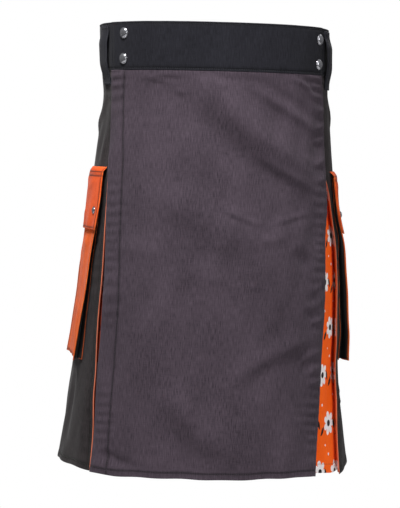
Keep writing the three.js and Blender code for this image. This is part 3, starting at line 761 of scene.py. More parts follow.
class Finish:
    """A new material, with short ways to add nodes to it."""

    def __init__(self, name):
        self.material = bpy.data.materials.new(name)
        self.material.use_nodes = True
        self.tree = self.material.node_tree
        self.tree.nodes.clear()
        self.surface = self.node("ShaderNodeBsdfPrincipled")
        output = self.node("ShaderNodeOutputMaterial")
        self.link(self.surface.outputs["BSDF"], output.inputs["Surface"])

    def node(self, kind, **settings):
        made = self.tree.nodes.new(kind)
        for name, value in settings.items():
            setattr(made, name, value)
        return made

    def link(self, source, target):
        self.tree.links.new(source, target)

    def feed(self, socket, value):
        if isinstance(value, bpy.types.NodeSocket):
            self.link(value, socket)
        else:
            socket.default_value = value

    def maths(self, operation, *values, clamp=False):
        made = self.node("ShaderNodeMath", operation=operation, use_clamp=clamp)
        for socket, value in zip(made.inputs, values):
            self.feed(socket, value)
        return made.outputs["Value"]

    def times(self, first, second):
        return self.maths("MULTIPLY", first, second)

    def plus(self, first, second):
        return self.maths("ADD", first, second)

    def less(self, first, second):
        return self.maths("SUBTRACT", first, second)

    def cloth_place(self):
        """The place on the cloth, in metres along its width and down its length."""
        flat = self.node("ShaderNodeUVMap", uv_map="cloth").outputs["UV"]
        parts = self.node("ShaderNodeSeparateXYZ")
        self.link(flat, parts.inputs["Vector"])
        return parts.outputs["X"], parts.outputs["Y"]

    def pair(self, x, y, z=0.0):
        made = self.node("ShaderNodeCombineXYZ")
        for socket, value in zip(made.inputs, (x, y, z)):
            self.feed(socket, value)
        return made.outputs["Vector"]

    def noise(self, vector, detail=2.0, rough=0.5):
        """Noise whose features are one unit of the vector in size."""
        made = self.node("ShaderNodeTexNoise")
        self.link(vector, made.inputs["Vector"])
        made.inputs["Scale"].default_value = 1.0
        made.inputs["Detail"].default_value = detail
        made.inputs["Roughness"].default_value = rough
        return made.outputs["Fac"]

    def object_noise(self, scale, detail, rough=0.5):
        """Noise in the piece's own place, with this many features to a metre."""
        scaled = self.node("ShaderNodeVectorMath", operation="SCALE")
        self.link(self.node("ShaderNodeTexCoord").outputs["Object"], scaled.inputs[0])
        scaled.inputs["Scale"].default_value = scale
        return self.noise(scaled.outputs["Vector"], detail, rough)

    def ramp(self, value, low, high, to_low=0.0, to_high=1.0):
        made = self.node("ShaderNodeMapRange", clamp=True)
        for socket, number in zip(made.inputs, (value, low, high, to_low, to_high)):
            self.feed(socket, number)
        return made.outputs["Result"]

    def blend(self, factor, first, second):
        made = self.node("ShaderNodeMix", data_type="RGBA")
        self.feed(made.inputs["Factor"], factor)
        self.feed(made.inputs[COLOUR_MIX["first"]], first)
        self.feed(made.inputs[COLOUR_MIX["second"]], second)
        return made.outputs[COLOUR_MIX["result"]]

    def tint(self, colour, where, shade):
        """A colour, with a shade given 0 to 255 laid over it where a value is one."""
        return self.blend(where, colour, linear(*shade))

    def mark(self, name):
        return self.node("ShaderNodeAttribute", attribute_name=name).outputs["Fac"]

    def paint(self, colour):
        self.link(colour, self.surface.inputs["Base Color"])

    def emboss(self, height, strength, distance):
        made = self.node("ShaderNodeBump")
        made.inputs["Strength"].default_value = strength
        made.inputs["Distance"].default_value = distance
        self.link(height, made.inputs["Height"])
        self.link(made.outputs["Normal"], self.surface.inputs["Normal"])

    def skin(self, roughness, specular, sheen=0.0):
        inputs = self.surface.inputs
        inputs["Roughness"].default_value = roughness
        inputs["Specular IOR Level"].default_value = specular
        inputs["Sheen Weight"].default_value = sheen
        inputs["Sheen Roughness"].default_value = 0.45


SEAM_SHADE = {"most": 0.75, "dark": 0.45}
TWILL_WALE = 0.0011
WALE_LEAN = 0.45
YARN = 0.00055

# What wales, yarns and streaks give to the relief, and what each gives to the tone
TWILL_RELIEF = {"wale": 0.5, "yarn": 0.2, "grain": 1.6}
TWILL_TONE = {"grain": 0.22, "wale": 0.16, "mottle": 0.16}

# Streaks of the yarns: how many to a metre across and down, their detail and their share
TWILL_STREAKS = {
    "fine": (1500, 110, 2, 0.5),
    "broad": (820, 55, 2, 0.32),
    "cross": (90, 1300, 2, 0.18),
    "slow": (14, 9, 3, 0),
}


def twill(finish, light, dark, faded, streak=0.5, wear=0.3):
    """Cotton twill: steep diagonal wales over upright yarns, uneven yarns as fine upright
    streaks, a slow mottling, and cloth faded where an edge is rubbed."""
    u, v = finish.cloth_place()

    def streaks(word):
        across, down, detail, _ = TWILL_STREAKS[word]
        return finish.noise(finish.pair(finish.times(u, across), finish.times(v, down)), detail)

    broad, slow = streaks("broad"), streaks("slow")
    grain = finish.times(broad, TWILL_STREAKS["broad"][-1])
    for word in ("fine", "cross"):
        grain = finish.plus(grain, finish.times(streaks(word), TWILL_STREAKS[word][-1]))
    steep = finish.plus(finish.times(v, WALE_LEAN), u)
    wale = finish.maths("SINE", finish.times(steep, 2 * math.pi / TWILL_WALE))
    yarn = finish.maths("SINE", finish.times(v, 2 * math.pi / YARN))
    height = finish.times(wale, TWILL_RELIEF["wale"])
    for part, value in (("yarn", yarn), ("grain", grain)):
        height = finish.plus(height, finish.times(value, TWILL_RELIEF[part]))
    spread, mottle = streak * TWILL_TONE["grain"], TWILL_TONE["mottle"]
    tone = finish.ramp(grain, 0.5 - spread, 0.5 + spread)
    tone = finish.plus(finish.times(finish.ramp(wale, -1, 1, -0.5, 0.5), TWILL_TONE["wale"]), tone)
    tone = finish.maths("ADD", tone, finish.ramp(slow, 0.35, 0.65, -mottle, mottle), clamp=True)
    colour = finish.blend(tone, linear(*dark), linear(*light))
    # Painted shade in the grooves of the seam rows: the cloth is darker close to each row
    sewn = finish.times(finish.mark("seam"), SEAM_SHADE["most"])
    colour = finish.tint(colour, sewn, SEAM_SHADE["dark"] * np.array(dark))
    rubbed = finish.times(finish.mark("wear"), finish.ramp(broad, 0.4, 0.6, 0.3 * wear, wear))
    return finish.tint(colour, rubbed, faded), height, (u, v)


def cloth_finish(name, light, dark, faded, streak=0.5):
    finish = Finish(name)
    colour, height, _ = twill(finish, light, dark, faded, streak)
    finish.paint(colour)
    finish.emboss(height, 0.7, 0.00007)
    finish.skin(0.88, 0.12, 0.05)
    return finish.material


PRINT = {"across": 0.047, "down": 0.064, "petals": 7, "notch": 0.56, "flower": 0.0155, "eye": 0.0042}

# Leaves and dots of one repeat: shifts across and down as shares of it, and sizes in metres
PRINT_LEAVES = ((0.43, 0.16, 0.7, 0.0095, 0.0034), (0.66, 0.02, -0.5, 0.0085, 0.003))
PRINT_DOTS = ((0.5, 0.62, 0.0019), (0.22, 0.44, 0.0014))
PRINT_COLOURS = {"petal": (238, 232, 232), "eye": (34, 26, 26), "leaf": (36, 28, 28), "dot": (236, 230, 230)}

# Colours that a mark on the mesh brings up over the print: painted shade in the fold beside the lip, painted
# deep shade over a whole insert, and the rolled lip's paler colour
PRINT_MARKS = {"fold": (158, 50, 18), "shade": (88, 16, 10), "lip": (200, 112, 82)}


def printed_finish(name, light, dark, faded):
    """Orange poplin with a staggered print of white daisies, black leaves and small dots. The
    rolled lip along its edge is a plain paler orange."""
    finish = Finish(name)
    colour, height, (u, v) = twill(finish, light, dark, faded, streak=0.9, wear=0.2)
    down = finish.maths("DIVIDE", v, PRINT["down"])
    row = finish.maths("FLOOR", down)
    odd = finish.maths("MODULO", finish.maths("ABSOLUTE", row), 2.0)
    across = finish.plus(finish.times(odd, 0.5), finish.maths("DIVIDE", u, PRINT["across"]))

    def within(share):
        return finish.less(finish.maths("FRACT", share), 0.5)

    def place(shift_across, shift_down):
        """Metres from the middle of the nearest repeat, moved by shares of a repeat."""
        x = finish.times(within(finish.plus(across, shift_across)), PRINT["across"])
        y = finish.times(within(finish.plus(down, shift_down)), PRINT["down"])
        return x, y

    def radius(x, y):
        squares = finish.plus(finish.times(x, x), finish.times(y, y))
        return finish.maths("SQRT", squares)

    def below(value, limit, soft=0.0003):
        return finish.ramp(finish.less(value, limit), -soft, soft, 1.0, 0.0)

    x, y = place(0.0, 0.0)
    far = radius(x, y)
    angle = finish.times(finish.maths("ARCTAN2", y, x), PRINT["petals"] / 2)
    petal = finish.maths("ABSOLUTE", finish.maths("COSINE", angle))
    reach = finish.times(finish.maths("POWER", petal, 0.5), PRINT["notch"])
    reach = finish.plus(reach, 1 - PRINT["notch"])
    flower = below(far, finish.times(reach, PRINT["flower"]))
    colour = finish.tint(colour, flower, PRINT_COLOURS["petal"])
    colour = finish.tint(colour, below(far, PRINT["eye"]), PRINT_COLOURS["eye"])
    for shift_across, shift_down, lean, long, wide in PRINT_LEAVES:
        x, y = place(shift_across, shift_down)
        along = finish.plus(finish.times(x, lean), y)
        aside = finish.maths("ABSOLUTE", finish.plus(finish.times(y, -lean), x))
        taper = finish.maths("DIVIDE", along, long)
        leaf = below(aside, finish.times(finish.less(1.0, finish.times(taper, taper)), wide))
        colour = finish.tint(colour, leaf, PRINT_COLOURS["leaf"])
    for shift_across, shift_down, size in PRINT_DOTS:
        dot = below(radius(*place(shift_across, shift_down)), size)
        colour = finish.tint(colour, dot, PRINT_COLOURS["dot"])
    # Painted shade of the fold and of a deep-lying insert, and the lip's paler colour, laid over the print
    for mark, shade in PRINT_MARKS.items():
        colour = finish.tint(colour, finish.mark(mark), shade)
    finish.paint(colour)
    finish.emboss(height, 0.5, 0.00005)
    finish.skin(0.84, 0.12, 0.04)
    return finish.material


def nickel_finish():
    """Stamped nickel: fine rubbing marks and a slightly uneven polish."""
    finish = Finish("nickel")
    grain = finish.object_noise(900, 4, 0.6)
    finish.link(finish.ramp(grain, 0.3, 0.7, 0.14, 0.3), finish.surface.inputs["Roughness"])
    finish.paint(finish.blend(grain, linear(150, 150, 156), linear(196, 196, 202)))
    finish.emboss(grain, 0.25, 0.00003)
    finish.surface.inputs["Metallic"].default_value = 1.0
    return finish.material


def thread_finish(name, light, dark):
    """Spun thread, with light and dark stretches as fine as its plies."""
    finish = Finish(name)
    grain = finish.object_noise(2200, 2)
    finish.paint(finish.blend(grain, linear(*dark), linear(*light)))
    finish.emboss(grain, 0.5, 0.00005)
    finish.skin(0.7, 0.3, 0.1)
    return finish.material


def floor_finish():
    finish = Finish("studio_floor")
    finish.paint(finish.blend(finish.object_noise(1, 3), linear(206, 206, 206), linear(216, 216, 216)))
    finish.skin(0.9, 0.1)
    return finish.material


MATERIALS = {
    "apron": cloth_finish("apron_twill", (73, 63, 72), (46, 39, 46), (90, 79, 88), streak=0.6),
    "panel": cloth_finish("panel_twill", (51, 46, 47), (27, 24, 25), (72, 67, 67)),
    "band": cloth_finish("band_twill", (33, 33, 39), (18, 18, 23), (48, 48, 55)),
    "insert": printed_finish("insert_print", (255, 108, 22), (240, 84, 10), (255, 140, 60)),
    "pocket": cloth_finish("pocket_twill", (220, 87, 29), (194, 66, 16), (236, 126, 70)),
    "face": cloth_finish("pocket_face_twill", (226, 99, 31), (202, 77, 18), (240, 136, 76)),
    "lining": cloth_finish("pocket_lining", (176, 82, 42), (138, 58, 28), (196, 104, 64)),
    "gusset": cloth_finish("gusset_twill", (30, 29, 28), (19, 18, 18), (42, 41, 40)),
    "snap": nickel_finish(),
}
SLOTS = {"lining": "pocket", "face": "pocket"}
THREADS = {
    "apron": thread_finish("thread_purple", (50, 42, 50), (32, 27, 32)),
    "panel": thread_finish("thread_grey", (64, 64, 58), (38, 38, 34)),
    "band": thread_finish("thread_black", (46, 46, 54), (26, 26, 32)),
    "insert": thread_finish("thread_rust", (150, 58, 22), (110, 38, 14)),
    "pocket": thread_finish("thread_brown", (110, 46, 22), (70, 28, 14)),
}


# Aprons, side panels and back faces
HEM = {"inset": 8, "cloth": 0.5}
APRON_FACING = {"inset": 28, "cloth": 0.55}
PUCKER = {"spacing": 14.5, "reach": 27, "rise": 2.0, "even_height": 0.5, "rim": 0.25, "lean": 26}

# How the spacing, the height and the reach of the puckers wander down a seam
PUCKER_DRIFT = ((37, 1, 0.5), (19.3, 0, 0.3))
PUCKER_HEIGHT = ((43, 2, 0.32), (23, 0.5, 0.18))
PUCKER_REACH = {"long": 23, "share": 0.25, "apart": 1.7}
HELD_EDGE = {"most": 34, "share": 0.3}


def panel_place(edges, width, length, level, seams, puckered):
    """Gives the point of a panel at a distance across and down it. Distances near an edge are
    kept, so that seams run parallel to it, and the middle takes up the change in width."""
    held = min(HELD_EDGE["most"], HELD_EDGE["share"] * width)

    def place(u, v, face):
        drop = PANEL_TOP + v
        left, right = edges(drop)
        share = np.clip((u - held) / (width - 2 * held), 0, 1)
        arc = left + u + share * (right - left - width)
        relief = seam_relief(seams, u, v, width, length)
        out = level(drop) + pucker(u, v, width, puckered) + face * (PANEL_CLOTH + relief)
        return spot(arc, drop, out), np.stack([arc, -drop + 0 * arc], axis=-1)

    return place


def pucker(u, v, width, sides):
    """Short ripples across the sewn edges of a panel. Their spacing and height wander."""
    phase = 2 * math.pi * (v / PUCKER["spacing"] + wander(v, PUCKER_DRIFT))
    height = PUCKER["even_height"] + wander(v, PUCKER_HEIGHT)
    total = 0
    for number, side in enumerate(sides):
        far = u if side == "left" else width - u
        reach = PUCKER["reach"] * (1 + PUCKER_REACH["share"] * np.sin(v / PUCKER_REACH["long"] + number))
        wave = 0.5 + 0.5 * np.sin(phase + PUCKER_REACH["apart"] * number + far / PUCKER["lean"])
        rim = mix(PUCKER["rim"], 1, smoothstep(0, 9, far))
        total = total + wave * height * rim * np.exp(-((far / reach) ** 4))
    return PUCKER["rise"] * total


def panel(node, finish, edges, level, step, seams, puckered=()):
    """One panel of twill, hung from the waistband, with its seams sewn."""
    left, right = edges(np.linspace(PANEL_TOP, KILT_LENGTH, 12))
    width, length = float(np.mean(right - left)), KILT_LENGTH - PANEL_TOP
    place = panel_place(edges, width, length, level, seams, puckered)
    sewn_piece(node, finish, place, (width, length), (step, step), seams, PANEL_CLOTH)


def side_panel_edges(side, drop):
    """Arcs of a side panel's lip, leading edge and rear edge."""
    lead = column(EDGES, f"panel_{SIDE_WORDS[side]}", drop)
    spread = (drop - BAND_HEIGHT) / (KILT_LENGTH - BAND_HEIGHT)
    return lead, lead + side * LIP_CLEAR, side * mix(*SIDE_REAR[side], spread)


def back_layout(drop):
    """Where the back's faces start, and the widths of a face and of a gap."""
    right = side_panel_edges(1, drop)[2]
    left = side_panel_edges(-1, drop)[2] + perimeter_at(drop)
    gap = mix(BACK_GAP["waist"], BACK_GAP["hem"], smoothstep(BACK_GAP["opens"], KILT_LENGTH, drop))
    face = (left - right - (BACK_FACES + 1) * gap) / BACK_FACES
    return right, face, gap


def back_face_edges(index, drop):
    start, face, gap = back_layout(drop)
    first = start + gap + index * (face + gap)
    clear_first = LIP_CLEAR if index <= BACK_FACES / 2 else 0
    clear_last = LIP_CLEAR if index >= BACK_FACES / 2 else 0
    return first + clear_first, first + face - clear_last


def back_gap(index, drop):
    """One gap of the back: its plain edge, the edge that carries the lip, and the way across."""
    start, face, gap = back_layout(drop)
    first = start + index * (face + gap)
    return (first, first + gap, 1) if index <= BACK_FACES / 2 else (first + gap, first, -1)


def under_apron_left(drop):
    hung = column(EDGES, "apron_left", drop) + UNDER_APRON_INSET["left"]
    return np.maximum(hung, column(EDGES, "panel_left", drop) + UNDER_APRON_INSET["lip"])


def make_panels():
    hem = seam_row("foot", HEM["inset"], hem=HEM["cloth"])
    panel(
        "over_apron", "apron",
        lambda drop: (column(EDGES, "apron_left", drop), column(EDGES, "apron_right", drop)),
        lambda drop: OVER_LEVEL + over_hang(drop), 2.9,
        [seam_row("left", APRON_FACING["inset"], hem=APRON_FACING["cloth"]), hem],
        puckered=("left", "right"),
    )
    hidden_right = UNDER_APRON_INSET["right"]
    panel(
        "under_apron", "apron",
        lambda drop: (under_apron_left(drop), column(EDGES, "apron_right", drop) - hidden_right),
        lambda drop: PANEL_LEVEL, 6,
        [seam_row("right", 12), seam_row("foot", HEM["inset"])],
    )
    for side, word in SIDE_WORDS.items():
        def edges(drop, side=side):
            _, lead, rear = side_panel_edges(side, drop)
            return (rear, lead) if side < 0 else (lead, rear)
        leading = "right" if side < 0 else "left"
        panel(
            f"side_panel_{word}", "panel", edges, lambda drop: PANEL_LEVEL, 4.5,
            [*fine_rows(leading), hem], puckered=(leading,),
        )
    for index in range(BACK_FACES):
        leading = ["left"] if index <= BACK_FACES / 2 else []
        leading += ["right"] if index >= BACK_FACES / 2 else []
        panel(
            f"back_face_{index + 1}", "panel",
            lambda drop, index=index: back_face_edges(index, drop),
            lambda drop: PANEL_LEVEL, 4.5, [hem, *fine_rows(*leading)],
        )


# Pleat inserts and bellows strips: strips folded along their length
BEND = 1.1


def rounded(path):
    """A folded path made smooth. Points are added a bend's length from each corner, and then
    each corner is cut off, so that only the stretches beside the corners change."""
    step = np.diff(path, axis=-2)
    long = np.linalg.norm(step, axis=-1, keepdims=True)
    near = np.minimum(BEND, 0.35 * long) / np.maximum(long, 1e-9)
    start, end = path[..., :-1, :], path[..., 1:, :]
    dense = np.stack([start, start + near * step, end - near * step], axis=-2)
    dense = dense.reshape(*path.shape[:-2], -1, 2)
    dense = np.concatenate([dense, path[..., -1:, :]], axis=-2)
    first, last = dense[..., :-1, :], dense[..., 1:, :]
    cut = np.stack([mix(first, last, 0.25), mix(first, last, 0.75)], axis=-2)
    cut = cut.reshape(*path.shape[:-2], -1, 2)
    return np.concatenate([dense[..., :1, :], cut, dense[..., -1:, :]], axis=-2)


def joined(spots):
    """A path from its corners, each a pair of a place across and a level, on one shape."""
    parts = np.broadcast_arrays(*(value for spot_pair in spots for value in spot_pair))
    return np.stack([np.stack(parts[k : k + 2], axis=-1) for k in range(0, len(parts), 2)], axis=-2)


def walk(path, u, shift):
    """Places at numbers along smoothed paths, moved to the side by a distance, and the lengths
    of the paths up to them."""
    step = np.linalg.norm(np.diff(path, axis=-2), axis=-1)
    run = np.concatenate([0 * step[..., :1], np.cumsum(step, axis=-1)], axis=-1)[..., None]
    tangent = np.gradient(path, axis=-2)
    tangent /= np.maximum(np.linalg.norm(tangent, axis=-1, keepdims=True), 1e-9)
    index = np.clip(np.floor(u), 0, path.shape[-2] - 2).astype(int)
    part = (u - index)[..., None]

    def at(values):
        near = np.take_along_axis(values, index[..., None, None], axis=-2)[..., 0, :]
        far = np.take_along_axis(values, index[..., None, None] + 1, axis=-2)[..., 0, :]
        return mix(near, far, part)

    way = at(tangent)
    way /= np.maximum(np.linalg.norm(way, axis=-1, keepdims=True), 1e-9)
    aside = np.stack([-way[..., 1], way[..., 0]], axis=-1)
    return at(path) + shift[..., None] * aside, at(run)[..., 0]


def folded_place(path_at, cloth, top):
    """Gives the point of a folded strip at a number along its smoothed path and a distance
    down it. The faces lie half the cloth's thickness to either side of the path."""

    def place(u, v, face):
        u, v = np.broadcast_arrays(u, v)
        moved, length = walk(rounded(path_at(top + v)), u, (face - 0.5) * cloth + 0 * u)
        return spot(moved[..., 0], top + v, moved[..., 1]), np.stack([length, -top - v], axis=-1)

    return place


def pleat_path(near, far, way, leg_level, inset):
    """From under the near panel's edge, back across the gap, to a lip at the far edge, as
    places across the body and levels."""
    sag = PLEAT_SAG["most"] * smoothstep(*PLEAT_SAG["gap"], np.abs(far - near))

    def turn(edge, outward, level):
        half = (level - CROSS_LEVEL) / 2
        tip = edge + outward * PLEAT_DEPTH
        return [
            (tip - outward * half, level),
            (tip, level - half),
            (tip - outward * half, CROSS_LEVEL),
        ]

    spots = [
        (near - way * inset, leg_level),
        *turn(near, -way, leg_level),
        (mix(near, far, 0.25) - way, CROSS_LEVEL - PLEAT_SAG["near_share"] * sag),
        (mix(near, far, 0.75) + way, CROSS_LEVEL - sag),
        *turn(far, way, LIP_LEG_LEVEL)[::-1],
        (far, LIP_LEG_LEVEL),
        (far, -0.1),
    ]
    return joined(spots)


INSERT_HEM = 12
INSERT_TUCK = {"plain": 1, "apron_top": 8, "apron_foot": 2, "drops": (200, 270)}
# Painted shade in the deep fold beside the lip: its most, and where it starts and where it is full, counted
# back from the path's end
INSERT_FOLD_SHADE = {"most": 0.8, "from_end": (9.5, 5.0)}
INSERT_STITCHES = 0.16
PIPING = {"radius": 0.68, "level": -0.4, "aside": 0.2, "sides": 8, "step": 5, "wear": 0.4}
PIPING_GIRTH = ((9.0, 0, 0.06), (3.7, 1, 0.05))


def pleat_insert(node, gap_at, apron_leg=False, shade=0.0, step=8):
    """The printed cloth of one pleat, and the piping rolled over the edge that it meets."""

    def path_at(drop):
        level = APRON_LEG_LEVEL + over_hang(drop) if apron_leg else LEG_LEVEL + 0 * drop
        inset = INSERT_TUCK["plain"]
        if apron_leg:
            lower = smoothstep(*INSERT_TUCK["drops"], drop)
            inset = mix(INSERT_TUCK["apron_top"], INSERT_TUCK["apron_foot"], lower)
        near, far, way = gap_at(drop)
        return pleat_path(near, far, way, level, inset)

    place = folded_place(path_at, INSERT_CLOTH, INSERT_TOP)
    last = rounded(path_at(np.array(INSERT_TOP))).shape[-2] - 1
    length = INSERT_FOOT - INSERT_TOP
    u_lines = np.arange(last + 1, dtype=float)
    v_lines = grid_lines(length, step, [length - INSERT_HEM])
    shade_from, shade_to = (last - far for far in INSERT_FOLD_SHADE["from_end"])
    # Painted shade: in the fold beside the lip, and over the whole insert as much as shade asks
    marks = {
        "fold": lambda grid: INSERT_FOLD_SHADE["most"] * smoothstep(shade_from, shade_to, grid[:, 0]),
        "shade": lambda grid: shade + 0 * grid[:, 0],
    }
    cloth_piece(
        node, "insert", place, u_lines, v_lines, INSERT_CLOTH,
        rims=(0.3, 0.4 * INSERT_CLOTH), marks=marks,
    )
    start, end = (0.5 - INSERT_STITCHES) * last, (0.5 + INSERT_STITCHES) * last
    sew("insert", place, (start, length - INSERT_HEM), (end, length - INSERT_HEM))
    piping(node, gap_at)


def piping(node, gap_at):
    """A narrow roll of paler cloth along a leading edge: a small circle carried down the edge,
    a little uneven in girth, with closed ends."""
    drops = np.linspace(INSERT_TOP + 1, INSERT_FOOT + 1.5, int((INSERT_FOOT - INSERT_TOP) / PIPING["step"]))
    _, far, way = gap_at(drops)
    angle = 2 * math.pi * np.arange(PIPING["sides"]) / PIPING["sides"]
    girth = PIPING["radius"] * (1 + wander(drops, PIPING_GIRTH))
    arc = (far - way * PIPING["aside"])[:, None] + girth[:, None] * np.cos(angle)
    level = PIPING["level"] + girth[:, None] * np.sin(angle)
    points = spot(arc, drops[:, None], level)
    faces = [ring_quads(*arc.shape), end_caps(*arc.shape)]
    flat = np.stack([np.broadcast_to(angle * 0.5, arc.shape), -drops[:, None] + 0 * arc], axis=-1)
    marks = {"lip": np.ones(arc.size), "wear": np.full(arc.size, PIPING["wear"])}
    piece = write_mesh(f"{node}_piping", points.reshape(-1, 3), faces, flat.reshape(-1, 2), marks)
    finish_piece(piece, "insert", MATERIALS["insert"])


def make_pleats():
    def left_gap(drop):
        return under_apron_left(drop), side_panel_edges(-1, drop)[0], -1

    def right_gap(drop):
        return column(EDGES, "apron_right", drop), side_panel_edges(1, drop)[0], 1

    # Painted shade over the whole left front insert, which lies deep in its pleat
    pleat_insert("pleat_front_left", left_gap, shade=0.85)
    pleat_insert("pleat_front_right", right_gap, apron_leg=True, step=4)
    for index in range(BACK_FACES + 1):
        pleat_insert(f"pleat_back_{index + 1}", lambda drop, index=index: back_gap(index, drop))


# Waistband
def band_strip(node, start, end, level, seams, step, sheet):
    """A strip of the waistband between two arcs, with its rows of stitches."""
    width = end - start

    def place(u, v, face):
        relief = seam_relief(seams, u, v, width, BAND_HEIGHT)
        return spot(start + u, v, level + face * (BAND_CLOTH + relief)), np.stack([start + u, -v], axis=-1)

    sewn_piece(node, "band", place, (width, BAND_HEIGHT), (step, 4), seams, BAND_CLOTH)


def make_waistband():
    rows = [seam_row(edge) for edge in ("top", "foot")]
    ends = [seam_row(edge) for edge in ("left", "right")]
    lap = float(perimeter_at(0.0)) + BAND_RUN["over"]
    band_strip("waistband", BAND_RUN["from"], lap, BAND_LEVEL, rows, 6, ("folded", []))
    band_strip("apron_band", *APRON_BAND_RUN, APRON_BAND_LEVEL, rows + ends, 4, ("folded", ["waistband"]))


def belt_loop(node, arc=0, fraction=0):
    """A strap sewn down at its top and foot and bowed out between them, with a bar of close
    stitches across each end."""
    middle = fraction * float(back_at(float(BAND_HEIGHT))) if fraction else arc
    band_face = BAND_LEVEL + BAND_CLOTH + LAYER_GAP + LOOP["cloth"] / 2
    panel_face = LOOP["foot_gap"] + LOOP["cloth"] / 2
    length = LOOP["foot"] - LOOP["top"]
    seams = [seam_row(edge) for edge in ("left", "right")]

    def middle_level(v):
        t = v / length
        sewn = mix(band_face, panel_face, smoothstep(*LOOP_SHAPE["in"], t))
        bow = smoothstep(*LOOP_SHAPE["rise"], t) * (1 - smoothstep(*LOOP_SHAPE["fall"], t))
        return sewn + LOOP["bulge"] * bow

    def place(u, v, face):
        slope = middle_level(v + 0.5) - middle_level(v - 0.5)
        lean = np.hypot(1, slope)
        out = (face - 0.5) * LOOP["cloth"] + face * seam_relief(seams, u, v, LOOP["width"], length)
        drop = LOOP["top"] + v - out * slope / lean
        arcs = middle - LOOP["width"] / 2 + u
        return spot(arcs, drop, middle_level(v) + out / lean), np.stack([u, -v + 0 * u], axis=-1)

    u_lines = grid_lines(LOOP["width"], 3, [SEAM_INSET, LOOP["width"] - SEAM_INSET])
    v_lines = grid_lines(length, 1.8)
    cloth_piece(node, "band", place, u_lines, v_lines, LOOP["cloth"])
    for seam in seams:
        sew("band", place, *seam_ends(seam, LOOP["width"], length))
    bar_start, bar_end = LOOP_BAR["inset"], LOOP["width"] - LOOP_BAR["inset"]
    for end in (SEAM_INSET, length - SEAM_INSET):
        for shift in LOOP_BAR["rows"]:
            sew("band", place, (bar_start, end + shift), (bar_end, end + shift))


# Snaps: a cap's flange as shares of its radius and height, and the dome over it
SNAP_FLANGE = [(0.9, 0.0), (1.0, 0.05), (1.0, 0.16), (0.94, 0.24), (0.88, 0.25)]
SNAP_DOME = {"girth": 0.86, "foot": 0.27, "rings": 8}
SNAP_SIDES = 40
SNAP_LIFT = 0.35


def snap_cap(node, size, surface):
    """A turned metal cap with a thin flange and a dome, seated on a surface that gives a point
    for a small shift across and down."""
    rise = np.linspace(0, math.pi / 2, SNAP_DOME["rings"] + 1)[:-1]
    dome = np.stack([SNAP_DOME["girth"] * np.cos(rise), mix(SNAP_DOME["foot"], 1, np.sin(rise))], axis=1)
    profile = np.concatenate([SNAP_FLANGE, dome]) * (size["radius"], size["dome"])
    reach = size["radius"] * 0.8
    centre = surface(0, 0)
    across = surface(reach, 0) - surface(-reach, 0)
    down = surface(0, reach) - surface(0, -reach)
    normal = np.cross(down, across)
    normal /= np.linalg.norm(normal)
    across /= np.linalg.norm(across)
    down = np.cross(across, normal)
    angle = 2 * math.pi * np.arange(SNAP_SIDES) / SNAP_SIDES
    ring = across * np.cos(angle)[:, None] + down * np.sin(angle)[:, None]
    base = centre + SNAP_LIFT * normal
    points = base + ring * profile[:, 0, None, None] + normal * profile[:, 1, None, None]
    rings = len(profile)
    foot, last = end_caps(rings, SNAP_SIDES)
    crown = np.stack([last, np.roll(last, -1), 0 * last + rings * SNAP_SIDES], axis=1)
    points = np.concatenate([points.reshape(-1, 3), [base + normal * size["dome"]]])
    piece = write_mesh(f"{node}_cap", points, [ring_quads(rings, SNAP_SIDES), crown, foot[None]])
    finish_piece(piece, "snap", MATERIALS["snap"], node)


def make_band_snaps():
    level = APRON_BAND_LEVEL + BAND_CLOTH
    for node, (arc, drop) in BAND_SNAPS.items():
        snap_cap(node, BAND_SNAP, lambda a, d, arc=arc, drop=drop: spot(arc + a, drop + d, level))


# Pockets
def pocket_edges(side, drop):
    """Arcs of the back layer's and the front face's edges, front edge first."""
    front = column(POCKET_EDGES, SIDE_WORDS[side], drop)
    lower = smoothstep(POCKET["foot"] - POCKET["flare_rows"], POCKET["foot"], drop)
    flare = mix(POCKET["flare"], POCKET["foot_flare"], lower)
    back = side * front, side * (front + POCKET["width"])
    face = side * (front - flare), side * (front + POCKET["width"] + flare)
    return {"back": back, "face": face}


def pocket_stand(side, arc, drop):
    """How far the pocket's outer face stands off the panel: least in the middle."""
    first, last = pocket_edges(side, drop)["face"]
    across = np.clip((arc - first) / (last - first), 0, 1)
    down = np.maximum((drop - POCKET["top"]) / (POCKET["foot"] - POCKET["top"]), 0)
    middle = mix(*STAND["middle"], smoothstep(0, STAND["full_at"], down))
    edges = mix(*STAND["edges"], down ** STAND["edge_growth"])
    return middle + edges * np.abs(2 * across - 1) ** STAND["bow"]


def flap_level(side, arc, drop):
    """The flap lies on the panel at its seam and on the pocket's face below it."""
    over = pocket_stand(side, arc, np.maximum(drop, POCKET["top"])) + POCKET_GAP
    kick = FLAP["kick"] * smoothstep(FLAP["foot"] - FLAP["kick_rows"], FLAP["foot"], drop)
    return mix(LAYER_GAP, over, smoothstep(FLAP["top"], POCKET["top"] - 1, drop)) + kick


def pocket_puff(side, arc, drop):
    """Creases that the pocket's face and flap share, faded out at the face's edges."""
    first, last = pocket_edges(side, drop)["face"]
    across = (arc - first) / (last - first)
    edge = smoothstep(-0.02, 0.2, across) * (1 - smoothstep(0.8, 1.02, across))
    return PUFF[side] * edge * crease_rise(POCKET_CREASES, side * (arc - first), drop, soft_ends=True)


